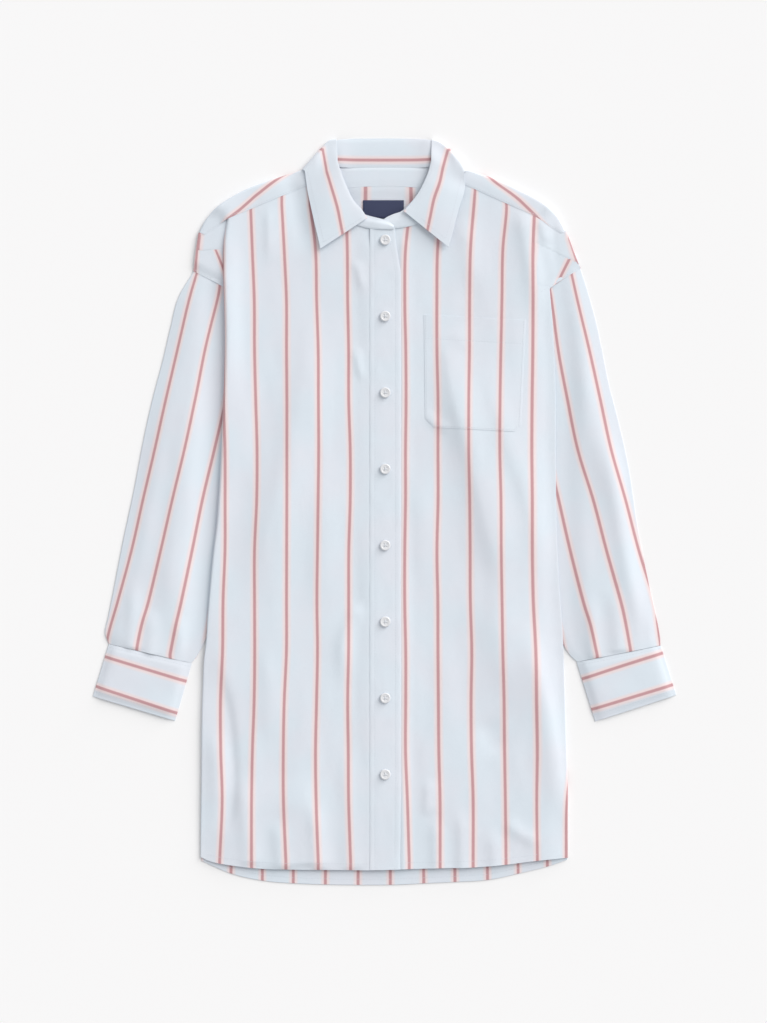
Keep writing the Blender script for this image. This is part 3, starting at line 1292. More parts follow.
class DRESS_OT_yoke(ClothOperator, Operator):
    """Adds the yoke, which folds over both shoulders and runs across behind the neck"""

    bl_idname = "shirt_dress.yoke"
    bl_label = "Yoke"

    def execute(self, context):
        step = self.step(context)
        shells = []
        for side in SIDES:
            stations = [(*seam, *fold, back) for seam, fold, back in YOKE_STATIONS[side]]
            line = curve(stations, steps(SHOULDER_LENGTH, step))
            if side == "left":
                line = line[::-1]
            half = self.shoulder(line, YOKE_STRIPES[side], self.depth(context))
            shells.append((*half, self.cloth(context)))
        x = np.linspace(-NECK_STRIP_REACH, NECK_STRIP_REACH, steps(2 * NECK_STRIP_REACH, step))
        low = np.stack([x, back_seam_y(x)], -1)
        high = np.stack([x, NECK_SEAM_Y + STRIP_TUCK + 0 * x], -1)
        ends = (np.linspace(low[k], high[k], steps(STRIP_DEPTH, step)) for k in (0, -1))
        strip = plan_between(low, high, *ends)
        x, y = strip[..., 0], strip[..., 1]
        at_seam = 1 - ease((y - back_seam_y(x)) / STRIP_SEAM_WIDTH)
        top = yoke_lift(x, y) + STRIP_HEIGHT - STRIP_SEAM_DIP * at_seam
        top = top - STRIP_EDGE_DROP * ramp(y, *STRIP_EDGE_Y)
        number = 0.5 + (y - STRIP_MARK_Y[0]) / STRIP_MARK_Y[1]
        shells.append((with_height(strip, top), marks_from(number, x), PATCH_THICKNESS))
        yoke = sewn(context, "yoke_panel", "yoke", *shells)
        return {"FINISHED"}

    @staticmethod
    def shoulder(line, stripe, depth):
        """One half: from the front seam over the shoulder fold to the back seam."""
        seam, fold, back_x = line[:, :2], line[:, 2:4], line[:, 4]
        back = np.stack([back_x, back_seam_y(back_x)], -1)
        inward = (seam + back) / 2 - fold
        inward /= np.linalg.norm(inward, axis=1, keepdims=True)
        low = yoke_lift(fold[:, 0], fold[:, 1])
        high = shoulder_top(seam[:, 0], seam[:, 1], depth)
        radius = (high - low) / 2
        centre = fold + inward * radius[:, None]
        columns = []
        for t in SHOULDER_SHARES:
            place = mix(seam, centre, t)
            surface = shoulder_top(place[:, 0], place[:, 1], depth)
            puff = SHOULDER_PUFF * math.sin(math.pi * t)
            columns.append(with_height(place, mix(surface, high, t) + puff))
        for angle in np.linspace(math.pi / 2, -math.pi / 2, SHOULDER_FOLD_ROWS):
            place = centre - inward * (radius * math.cos(angle))[:, None]
            columns.append(with_height(place, low + radius * (1 + math.sin(angle))))
        for t in np.linspace(0, 1, SHOULDER_UNDER_ROWS)[1:]:
            place = mix(centre, back, t)
            columns.append(with_height(place, yoke_lift(place[:, 0], place[:, 1])))
        face = np.stack(columns, 1)
        distance = to_path(face[:, 0, 0], face[:, 0, 1], stripe)[0]
        reach = np.cumsum(np.linalg.norm(np.diff(face, axis=1), axis=2), axis=1)
        reach = np.concatenate([np.zeros((len(face), 1)), reach], 1)
        below = (seam[:, 1] < np.interp(seam[:, 0], *sorted_line(stripe))) * 2 - 1
        number = (reach - (distance * below)[:, None]) / STRIPE_PITCH
        return face, marks_from(number, face[..., 0])


def sorted_line(points):
    """The x and y of a path, in order of x."""
    ordered = np.array(sorted(points))
    return ordered[:, 0], ordered[:, 1]


RING_PARTS = 30
RING_CROWDING = 0.35  # how much closer together its places lie towards both edges
RING_EDGE_PARTS = 6
SAG_SHARES = (0.22, 0.4)


def tube_ring(outer_end, inner_end, sag, low, high, rounding):
    """A ring round a flattened tube, from its outer edge over the top and back beneath."""
    span = inner_end - outer_end
    length = float(np.linalg.norm(span))
    t = 0.5 - 0.5 * np.cos(np.linspace(0, math.pi, RING_PARTS + 1))
    t = mix(np.linspace(0, 1, RING_PARTS + 1), t, RING_CROWDING)
    distance = mix(rounding, length - rounding, t)

    def place(d):
        share = np.atleast_1d(d) / length
        back = sag * ramp(share, *SAG_SHARES)
        return outer_end[0] + span[0] * share, outer_end[1] + span[1] * share - back

    x, y = place(distance)
    top = high(x, y, distance, length)
    bottom = np.full(len(top), low)
    ends = []
    angle = np.linspace(math.pi / 2, -math.pi / 2, RING_EDGE_PARTS + 1)[1:-1]
    for end, at, sign in ((0.0, 0, 1), (length, -1, -1)):
        half = (top[at] - low) / 2
        d = end + sign * rounding * (1 - np.cos(angle))
        ends.append(np.stack([*place(d), low + half * (1 + np.sin(angle))], -1))
    upper = np.stack([x, y, top], -1)
    lower = np.stack([x, y, bottom], -1)
    return np.concatenate([upper, ends[1], lower[::-1], ends[0][::-1]]), len(upper) + 2


def tube_faces(sections, high, low, rounding):
    """Rings for all sections, and the column at which the inner edge lies."""
    rings = []
    for row in sections:
        outer_end, inner_end, sag = row[:2], row[2:4], row[4]
        ring, edge = tube_ring(outer_end, inner_end, sag, low, high, rounding)
        rings.append(ring)
    return np.stack(rings), edge


def tube_marks(face, number, edge):
    """Stripes that run on round the outer edge of a tube and meet at its inner seam."""
    counted = number(face[..., 0], face[..., 1])
    outer = counted[:, :1]
    mirrored = 2 * outer - counted
    return np.concatenate([counted[:, :edge], mirrored[:, edge:], outer], 1)


SLEEVE_LENGTH = 430
SLEEVE_ROUNDING = 0.6


class DRESS_OT_sleeves(ClothOperator, Operator):
    """Adds both sleeves as flattened tubes, partly under the body"""

    bl_idname = "shirt_dress.sleeves"
    bl_label = "Sleeves"

    def execute(self, context):
        step, depth = self.step(context), self.depth(context)
        for side in SIDES:
            sections = curve(SLEEVE_SECTIONS[side], steps(SLEEVE_LENGTH, step))

            def high(x, y, d, length):
                return sleeve_top(side, x, y, d, length, depth)

            def counted(x, y):
                return stripe_number(x, y, SLEEVE_STRIPES[side])

            face, edge = tube_faces(sections, high, 0.0, SLEEVE_ROUNDING)
            number = tube_marks(face, counted, edge)
            along = np.concatenate([face[..., 1], face[:, :1, 1]], 1)
            shell = face, marks_from(number, along), self.cloth(context), True
            sleeve = sewn(context, f"sleeve_{side}_tube", f"sleeve_{side}", shell)
        return {"FINISHED"}


CUFF_FINENESS = 0.7
CUFF_DEPTH = 60
CUFF_WIDTH = 94
CUFF_EDGE_WIDTH = 9
CUFF_ROUNDING = 0.5
CUFF_UNEVENNESS = 0.25
CUFF_SEAM_THINNING = (0.8, 0.12)  # share of the height left at the seam, share of the depth
CUFF_WRIST_THINNING = (0.5, 0.16)


class DRESS_OT_cuffs(ClothOperator, Operator):
    """Adds both cuffs as flattened bands"""

    bl_idname = "shirt_dress.cuffs"
    bl_label = "Cuffs"

    def execute(self, context):
        step = CUFF_FINENESS * self.step(context)
        for side in SIDES:
            seam_outer, seam_inner, wrist_outer, wrist_inner = CUFFS[side]
            ends = [*seam_outer, *seam_inner, 0], [*wrist_outer, *wrist_inner, 0]
            rows = np.linspace(*ends, steps(CUFF_DEPTH, step))
            share = np.linspace(0, 1, len(rows))[:, None]
            face = tube_faces(rows, self.high, 0.0, CUFF_ROUNDING)[0]
            for (least, width), t in ((CUFF_SEAM_THINNING, share), (CUFF_WRIST_THINNING, 1 - share)):
                face[..., 2] *= mix(least, 1, ease(t / width))
            outer_end, inner_end = rows[:, None, :2], rows[:, None, 2:4]
            span = inner_end - outer_end
            across = np.sum((face[..., :2] - outer_end) * span, -1) / np.sum(span * span, -1)
            (first_out, second_out), (first_in, second_in) = CUFF_STRIPES[side]
            first = mix(first_out, first_in, across)
            second = mix(second_out, second_in, across)
            number = (share - first) / (second - first)
            number = np.concatenate([number, number[:, :1]], 1)
            along = np.concatenate([across, across[:, :1]], 1) * CUFF_WIDTH
            shell = face, marks_from(number, along), self.crisp(context), True
            cuff = sewn(context, f"cuff_{side}_band", f"cuff_{side}", shell)
        return {"FINISHED"}

    @staticmethod
    def high(x, y, d, length):
        """Upper face of a cuff, some way in from its outer end."""
        from_end = np.minimum(d, length - d)
        crown = ease(from_end / CUFF_CROWN_WIDTH)
        flat = mix(CUFF_EDGE, CUFF_FLAT, ease(from_end / CUFF_EDGE_WIDTH))
        return flat + CUFF_LOFT * crown + CUFF_UNEVENNESS * unevenness(x, y, 16, 20, 31)


def edge_softness(distance, width, drop):
    """How much a crisp piece thins towards its edge."""
    return -drop * np.square(np.clip(1 - distance / width, 0, 1))


# Shares across the placket, closest at its edges and at its two rows of stitches
PLACKET_SHARES = np.array([
    0, 0.012, 0.04, 0.08, 0.12, 0.15, 0.165, 0.18, 0.22, *np.linspace(0.3, 0.7, 8),
    0.78, 0.82, 0.835, 0.85, 0.88, 0.92, 0.96, 0.988, 1,
])
PLACKET_SOFTNESS = (2.4, 0.2)
PLACKET_UNEVENNESS = 0.12
STITCH_DIP = 0.07
STITCH_DIP_WIDTH = 0.9
PLACKET_MARK_WIDTH = 75  # so wide a pitch that no stripe shows on the placket


def groove(distance, width):
    """1 at a row of stitches, falling away over a width on both sides."""
    return np.exp(-np.square(distance / width))


class DRESS_OT_placket(ClothOperator, Operator):
    """Adds the button placket"""

    bl_idname = "shirt_dress.placket"
    bl_label = "Placket"

    def execute(self, context):
        rows = steps(PLACKET_LENGTH, self.step(context))
        top_y = PLACKET_TOP_Y + PLACKET_TUCK
        seam = spaced([(PLACKET_SEAM_X, PLACKET_BOTTOM_Y), (PLACKET_SEAM_X, top_y)], rows)
        ys = np.linspace(PLACKET_BOTTOM_Y + 0.6, top_y, rows)
        edge = np.stack([np.interp(ys, *reversed(np.array(PLACKET_EDGE).T)), ys], -1)
        plan = mix(seam[:, None], edge[:, None], PLACKET_SHARES[None, :, None])
        x, y = plan[..., 0], plan[..., 1]
        from_edge = PLACKET_WIDTH * np.minimum(PLACKET_SHARES, 1 - PLACKET_SHARES)
        top = body_rest(y) + PLACKET_RISE + edge_softness(from_edge, *PLACKET_SOFTNESS)
        top = top - STITCH_DIP * groove(from_edge - PLACKET_STITCH_INSET, STITCH_DIP_WIDTH)
        top = top + PLACKET_UNEVENNESS * unevenness(x, y, 9, 12, 41)
        number = 0.5 + x / PLACKET_MARK_WIDTH
        shell = with_height(plan, top), marks_from(number, y), self.crisp(context)
        band = sewn(context, "placket_band", "placket", shell)
        return {"FINISHED"}


POCKET_FINENESS = 0.8
POCKET_WIDTH = 112
POCKET_HEIGHT = 124
POCKET_HEM = 26
POCKET_RISE = 0.4
POCKET_PUFF = 0.5
POCKET_SOFTNESS = (1.6, 0.1)
POCKET_HEM_DIP = 0.12
POCKET_HEM_DIP_WIDTH = 1.2


class DRESS_OT_pocket(ClothOperator, Operator):
    """Adds the patch pocket, whose stripes meet those of the front"""

    bl_idname = "shirt_dress.pocket"
    bl_label = "Pocket"

    def execute(self, context):
        step = POCKET_FINENESS * self.step(context)
        rows, columns = steps(POCKET_HEIGHT, step), steps(POCKET_WIDTH, step)
        sides = (spaced([POCKET_BOTTOM[k], POCKET_TOP[k]], rows) for k in (0, -1))
        plan = plan_between(spaced(POCKET_BOTTOM, columns), spaced(POCKET_TOP, columns), *sides)
        x, y = plan[..., 0], plan[..., 1]
        u, v = unit_grid(columns, rows)
        from_edge = np.minimum(np.minimum(u, 1 - u) * POCKET_WIDTH, v * POCKET_HEIGHT)
        puff = POCKET_PUFF * np.sin(math.pi * u) * ease(v)
        top = body_top(x, y, self.depth(context)) + POCKET_RISE + puff
        top = top + edge_softness(from_edge, *POCKET_SOFTNESS)
        from_hem = (1 - v) * POCKET_HEIGHT - POCKET_HEM
        top = top - POCKET_HEM_DIP * groove(from_hem, POCKET_HEM_DIP_WIDTH)
        number = stripe_number(x, y, FRONT_STRIPES["left"])
        shell = with_height(plan, top), marks_from(number, y), PATCH_THICKNESS
        patch = sewn(context, "pocket_patch", "pocket", shell)
        return {"FINISHED"}


STAND_LENGTH = 300
STAND_PARTS = 14
STAND_DEPTH = 26
STAND_PUFF = 0.4
STAND_SOFTNESS = (2.5, 0.4)
STAND_FRONT = (3.5, 2)  # rows as high as this lie on the fronts, lower ones behind the neck
STAND_SEAM_TOP = 6.2  # height at the seam on the fronts
STAND_LEVEL = 6.1
STAND_END_RISE = (1.4, 1.25)  # so much higher the ends lie, and how much of it their seam takes
STAND_STRIPE_REACH = 8.6
STAND_THICKNESS = 0.34


class DRESS_OT_collar_stand(ClothOperator, Operator):
    """Adds the collar stand, open at the front over the top of the placket"""

    bl_idname = "shirt_dress.collar_stand"
    bl_label = "Collar stand"

    def execute(self, context):
        rows = curve(STAND_ROWS, steps(STAND_LENGTH, self.step(context)))
        t = np.linspace(1, 0, STAND_PARTS)
        plan = across_rows(rows, t)
        level = rows[:, 4:5]
        from_edge = np.minimum(t, 1 - t) * STAND_DEPTH
        at_front = ramp(level, *STAND_FRONT)
        puff = STAND_PUFF * np.sin(math.pi * t)
        high = level + CLOTH_GAUGE + puff + edge_softness(from_edge, *STAND_SOFTNESS)
        end_rise, seam_rise = STAND_END_RISE
        at_seam = STAND_SEAM_TOP + seam_rise * np.clip(level - STAND_LEVEL, 0, end_rise) / end_rise
        top = mix(high, mix(at_seam, high, ease(2 * t)), at_front)
        width = np.linalg.norm(rows[:, 2:4] - rows[:, :2], axis=1)[:, None]
        number = mix((t * width - STAND_STRIPE_REACH) / STRIPE_PITCH, 0.5 + (t - 0.5) / 3, at_front)
        marks = marks_from(number, lengths_along(rows[:, 2:4])[:, None])
        shell = with_height(plan, top), marks, STAND_THICKNESS
        band = sewn(context, "collar_stand_band", "collar_stand", shell)
        return {"FINISHED"}


COLLAR_SHARES = np.array([0, 0.006, 0.016, 0.03, *np.linspace(0.055, 0.96, 34), 0.985, 1])
COLLAR_MIDDLE = 20  # a column of places halfway across
COLLAR_STRIPE_REACH = 29.0
LEAF_PARTS = 60
FALL_PARTS = 40
LEAF_BOW = 1.2
LEAF_REST = 1.05  # a leaf lies so far above the front, and further over its seam
LEAF_SEAM_REST = 0.7
LEAF_SEAM_Y = (335, 15)
LEAF_SOFTNESS = 0.3
ROLL_DROP = 0.4
ROLL_WIDTH = 0.08
LIFT_POWER = 0.8
LIFT_FADE = 0.3  # share of a leaf over which its lift comes down to the shoulder
TURN_BLEND_ROWS = 10
TURN_ROWS = 12
TURN_HEIGHTS = (4.9, 8.2)  # where the collar folds over the shoulders, at its roll and edge
TURN_SHARES = (0.2, 0.5)


class DRESS_OT_collar(ClothOperator, Operator):
    """Adds the collar: a leaf on each front, turned over the shoulders to its fall behind"""

    bl_idname = "shirt_dress.collar"
    bl_label = "Collar"

    def execute(self, context):
        across = COLLAR_SHARES
        behind = across_rows(curve(FALL_ROWS, FALL_PARTS), across)
        face = np.concatenate([
            self.leaf("right", across),
            self.turn("right", across),
            with_height(behind, 0 * behind[..., 0]),
            self.turn("left", across)[::-1],
            self.leaf("left", across)[::-1],
        ])
        width = np.linalg.norm(face[:, -1, :2] - face[:, 0, :2], axis=1)[:, None]
        number = (COLLAR_STRIPE_REACH + (across - 1) * width) / STRIPE_PITCH
        marks = marks_from(number, lengths_along(face[:, COLLAR_MIDDLE])[:, None])
        shell = face[:, ::-1], marks[:, ::-1], self.crisp(context)
        band = sewn(context, "collar_band", "collar", shell)
        return {"FINISHED"}

    @staticmethod
    def height(across):
        """A leaf's own height above the surface, from its roll to its outer edge."""
        return mix(ROLL_HEIGHT, LEAF_EDGE_HEIGHT, across) + edge_softness(across, ROLL_WIDTH, ROLL_DROP)

    def leaf(self, side, across):
        """One leaf on its front, from its tip to where it turns over the shoulder."""
        place = across_rows(curve(LEAF_ROWS[side], LEAF_PARTS)[:-1], across)
        share = np.linspace(0, 1, LEAF_PARTS)[:-1, None]
        lift = LEAF_LIFT[side] * (1 - share) ** LIFT_POWER * mix(0.3, 1, across)
        lift = lift * ease((1 - share) / LIFT_FADE)
        bow = LEAF_BOW * np.sin(math.pi * across) * np.sin(math.pi * share)
        x, y = place[..., 0], place[..., 1]
        resting = body_top(x, y) + LEAF_REST + LEAF_SEAM_REST * ramp(y, *LEAF_SEAM_Y)
        own = soft_max(self.height(across), resting, LEAF_SOFTNESS)
        return with_height(place, own + lift + bow)

    def turn(self, side, across):
        """The run of the collar over one shoulder, from its leaf down to the surface."""
        start = self.leaf(side, across)[-1]
        line = rounded(SHOULDER_TURN[side])
        lengths = lengths_along(line)
        fold = np.stack([np.interp(across * lengths[-1], lengths, line[:, k]) for k in (0, 1)], -1)
        run = np.gradient(fold, axis=0)
        outward = np.stack([run[:, 1], -run[:, 0]], -1) * DIRECTION[side]
        outward /= np.linalg.norm(outward, axis=1, keepdims=True)
        radius = mix(*TURN_HEIGHTS, ramp(across, *TURN_SHARES)) / 2
        rows = []
        crest = fold - outward * radius[:, None]
        for blend in np.linspace(0, 1, TURN_BLEND_ROWS)[1:-1]:
            height = mix(start[:, 2], 2 * radius, ease(blend))
            rows.append(with_height(mix(start[:, :2], crest, blend), height))
        for angle in np.linspace(math.pi / 2, -math.pi / 2, TURN_ROWS):
            place = fold + outward * (radius * (math.cos(angle) - 1))[:, None]
            rows.append(with_height(place, radius * (1 + math.sin(angle))))
        return np.stack(rows)


LABEL_SIZE = (44, 19)
LABEL_PUFF = 0.25
LABEL_SOFTNESS = (1.5, 0.3)
LABEL_THICKNESS = 0.6


class DRESS_OT_neck_label(ClothOperator, Operator):
    """Adds the plain woven label inside the back of the neck"""

    bl_idname = "shirt_dress.neck_label"
    bl_label = "Neck label"

    def execute(self, context):
        low, high = (in_mm(corner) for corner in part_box("neck_label"))
        u, v = unit_grid(30, 16)
        plan = np.stack([mix(low.x, high.x, u), mix(low.y, high.y, v)], -1)
        from_ends, from_sides = (np.minimum(t, 1 - t) * size for t, size in zip((u, v), LABEL_SIZE))
        softness = edge_softness(np.minimum(from_ends, from_sides), *LABEL_SOFTNESS)
        top = high.z + LABEL_PUFF * np.sin(math.pi * u) + softness
        marks = marks_from(plan[..., 0] / STRIPE_PITCH, plan[..., 1])
        piece = ClothPiece("neck_label_cloth")
        piece.shell(with_height(plan, top), marks, LABEL_THICKNESS)
        label = piece.build(woven_label(context.scene.dress_colours), "neck_label")
        return {"FINISHED"}


HOLE_OFFSET = 1.45
HOLE_RADIUS = 0.85
HOLE_DEPTH = 1.35
HOLE_SLOPE = (0.3, 0.45)  # how far within its edge a hole starts to rise, and over what width
RIM_WIDTH = 1.0
DISH_START = 2.3  # from the edge inwards
BUTTON_RELIEF = 0.4  # share of the relief that is worked into the blank
BUTTON_DISH = 0.65
BUTTON_UNDER = 0.3  # the underside curves up at its edge by this share of the height
BUTTON_SIDES = 72
BUTTON_RINGS = np.concatenate([np.linspace(0.02, 0.8, 26), np.linspace(0.82, 1, 10)])


def button_height(x, y, radius, height):
    """Upper face of a button: a rolled rim round a dished middle with four holes."""
    r = np.hypot(x, y)
    over_rim = np.clip((r - radius + RIM_WIDTH) / RIM_WIDTH, 0, 1)
    rim = height * np.sqrt(np.clip(1 - np.square(over_rim), 0, 1))
    dish = BUTTON_DISH * (1 - ease((r - radius + DISH_START) / RIM_WIDTH))
    within, width = HOLE_SLOPE
    holes = 0
    for sx in (-1, 1):
        for sy in (-1, 1):
            away = np.hypot(x - sx * HOLE_OFFSET, y - sy * HOLE_OFFSET)
            holes = holes + HOLE_DEPTH * (1 - ease((away - HOLE_RADIUS + within) / width))
    return rim - dish - holes


class DRESS_OT_buttons(ClothOperator, Operator):
    """Adds the buttons, each with a rolled rim and four holes"""

    bl_idname = "shirt_dress.buttons"
    bl_label = "Buttons"

    def execute(self, context):
        finish = pearl(context.scene.dress_colours)
        for k in range(1, BUTTON_COUNT + 1):
            low, high = (Vector(in_mm(corner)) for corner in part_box(f"button_{k}"))
            centre, height = (low + high) / 2, high.z - low.z
            radius = (high.x - low.x) / 2
            rings = BUTTON_RINGS * radius
            angle = np.linspace(0, 2 * math.pi, BUTTON_SIDES + 1)
            x = rings[:, None] * np.cos(angle)
            y = rings[:, None] * np.sin(angle)
            relief_height = mix(height, button_height(x, y, radius, height), BUTTON_RELIEF)
            under_height = BUTTON_UNDER * height * (rings[:, None] / radius) ** 6 + 0 * x
            top, under = (np.stack([x, y, z], -1) for z in (relief_height, under_height))
            face = np.concatenate([top, under[::-1]])[:, :-1] + np.array([centre.x, centre.y, low.z])
            places, faces = self.turned(face)
            button = add_object(f"button_{k}_pearl", places, faces, finish)
            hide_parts(f"button_{k}")
        return {"FINISHED"}

    @staticmethod
    def turned(face):
        """Places and faces of a solid of revolution from rings, closed at both ends."""
        ids = np.arange(face.shape[0] * face.shape[1]).reshape(face.shape[:2])
        quads = ClothPiece.quads_of(np.hstack([ids, ids[:, :1]]))[:, ::-1].tolist()
        return face.reshape(-1, 3), [*quads, ids[0].tolist(), ids[-1][::-1].tolist()]


# Stitches

STITCH_LENGTH = 2.3
STITCH_PITCH = 3.1
STITCH_RADIUS = 0.15
STITCH_SIDES = 6
STITCH_DEPTH = 0.16  # the ends of a stitch dip so far into the cloth
STITCH_RISE = 0.06
STITCH_STEP = 0.8  # no stitch bridges a step of the cloth higher than this
BUTTON_THREAD = (0.26, 0.45)  # radius, and dip at its ends
BUTTON_THREAD_RISE = 0.12
RAY_HEIGHT = 0.05
THREAD_RINGS = ((0, 0.4), (0.14, 1), (0.5, 1.1), (0.86, 1), (1, 0.4))  # share of length, width
HEM_INSETS = {"back": 6, "front": 7}
ARMHOLE_INSET = 2.3
YOKE_INSET = 2
CUFF_STITCH_DEPTHS = (0.05, 0.9)
CUFF_STITCH_ENDS = (0.03, 0.97)
POCKET_STITCHES = (
    [(45.2, 213.5), (46.5, 102.6), (55, 93.6), (141.7, 89.2), (147.8, 95), (153, 207.8)],
    [(45.4, 189.5), (152.4, 183.8)],
)
COLLAR_STITCHES = (
    [(-84, 371.5), (-66.5, 295.3), (-26, 321)],
    [(84.2, 366), (74.4, 324.3), (67, 298.5), (53.9, 309.2), (41, 320.5)],
)


def seam_paths():
    """Every row of stitches: the object that it lies on, and its path in the plan."""
    yield "placket_band", [(PLACKET_SEAM_X + PLACKET_STITCH_INSET, y) for y in (-391, 303)]
    yield "placket_band", [(x - PLACKET_STITCH_INSET, y) for x, y in PLACKET_EDGE]
    for path in POCKET_STITCHES:
        yield "pocket_patch", path
    yield "back_panel", [(x, y + HEM_INSETS["back"]) for x, y in BACK_HEM]
    for path in COLLAR_STITCHES:
        yield "collar_band", path
    for side in SIDES:
        front, armhole = f"front_{side}_panel", (CAPS[side]["edge"][-1], CAPS[side]["inner_end"])
        yield front, [(x, y + HEM_INSETS["front"]) for x, y in FRONT_HEMS[side][1:]]
        yield front, [(x, y + ARMHOLE_INSET) for x, y in armhole]
        yield "yoke_panel", [(x, y + YOKE_INSET) for (x, y), _, _ in YOKE_STATIONS[side]]
        start, end, wrist_start, wrist_end = (np.array(corner) for corner in CUFFS[side])
        for depth in CUFF_STITCH_DEPTHS:
            yield f"cuff_{side}_band", [
                mix(mix(start, end, share), mix(wrist_start, wrist_end, share), depth)
                for share in CUFF_STITCH_ENDS
            ]


def threads(starts, ends, radius, dip):
    """Places and faces of short rods of thread, both ends of which dip into the cloth."""
    starts, ends = np.array(starts), np.array(ends)
    count = len(starts)
    run = ends - starts
    run /= np.linalg.norm(run, axis=1, keepdims=True)
    sideways = np.cross(run, (0, 0, 1.0))
    sideways /= np.linalg.norm(sideways, axis=1, keepdims=True)
    upwards = np.cross(sideways, run)
    angle = np.linspace(0, 2 * math.pi, STITCH_SIDES + 1)[:-1]
    rings = []
    for share, width in THREAD_RINGS:
        centre = mix(starts, ends, share) - upwards * dip * abs(2 * share - 1) ** 3
        round_it = sideways[:, None] * np.cos(angle)[:, None] + upwards[:, None] * np.sin(angle)[:, None]
        rings.append(centre[:, None] + round_it * radius * width)
    places = np.stack(rings, 1)
    ids = np.arange(count * len(rings) * STITCH_SIDES).reshape(count, len(rings), STITCH_SIDES)
    wrapped = np.concatenate([ids, ids[..., :1]], -1)
    corners = [wrapped[:, :-1, :-1], wrapped[:, :-1, 1:], wrapped[:, 1:, 1:], wrapped[:, 1:, :-1]]
    quads = np.stack(corners, -1).reshape(-1, 4)
    return places.reshape(-1, 3), [*quads.tolist(), *ids[:, 0, ::-1].tolist(), *ids[:, -1].tolist()]


class DRESS_OT_stitches(ClothOperator, Operator):
    """Adds the stitches along the seams and hems, and the thread that holds the buttons"""

    bl_idname = "shirt_dress.stitches"
    bl_label = "Stitches"

    def execute(self, context):
        thread = sewing_thread(context.scene.dress_colours)
        starts, ends, cloths = [], [], {}
        for name, path in seam_paths():
            if name not in cloths:
                if name not in bpy.data.objects:
                    raise RuntimeError(f"{name} has to be added before its stitches")
                cloth = bpy.data.objects[name]
                cloths[name] = BVHTree.FromObject(cloth, context.evaluated_depsgraph_get())
            length = np.sum(np.linalg.norm(np.diff(np.array(path), axis=0), axis=1))
            line = spaced(path, max(int(length / STITCH_PITCH), 2))
            run = np.gradient(line, axis=0)
            run *= STITCH_LENGTH / 2 / np.linalg.norm(run, axis=1, keepdims=True)
            for start, end in zip(line - run, line + run):
                hits = [self.surface(cloths[name], place) for place in (start, end)]
                if None not in hits and abs(hits[0][2] - hits[1][2]) < STITCH_STEP:
                    starts.append(hits[0])
                    ends.append(hits[1])
        places, faces = threads(starts, ends, STITCH_RADIUS, STITCH_DEPTH)
        add_object("seam_stitches", places, faces, thread)
        starts, ends = [], []
        for k in range(1, BUTTON_COUNT + 1):
            low, high = (Vector(in_mm(corner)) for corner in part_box(f"button_{k}"))
            x, y = (low.x + high.x) / 2, (low.y + high.y) / 2
            z = high.z - BUTTON_RELIEF * BUTTON_DISH + BUTTON_THREAD_RISE
            for sign in (-1, 1):
                starts.append((x - HOLE_OFFSET, y - sign * HOLE_OFFSET, z))
                ends.append((x + HOLE_OFFSET, y + sign * HOLE_OFFSET, z))
        places, faces = threads(starts, ends, *BUTTON_THREAD)
        add_object("button_threads", places, faces, thread)
        return {"FINISHED"}

    @staticmethod
    def surface(cloth, place):
        """The point of a piece of cloth that shows from above at a place, in millimetres."""
        origin = Vector((place[0] * MM, place[1] * MM, RAY_HEIGHT))
        hit = cloth.ray_cast(origin, Vector((0, 0, -1)))[0]
        return None if hit is None else (place[0], place[1], hit.z / MM + STITCH_RISE)


def light_direction(azimuth, elevation):
    """The way from the dress to a light."""
    flat = math.cos(elevation)
    return Vector((math.cos(azimuth) * flat, math.sin(azimuth) * flat, math.sin(elevation)))


FLOOR_HALF_SIZE = 6.0
FLOOR_DROP = 0.0004  # the floor lies so far below the dress
SENSOR_SIZE = 36.0
CLIP_END = 50.0


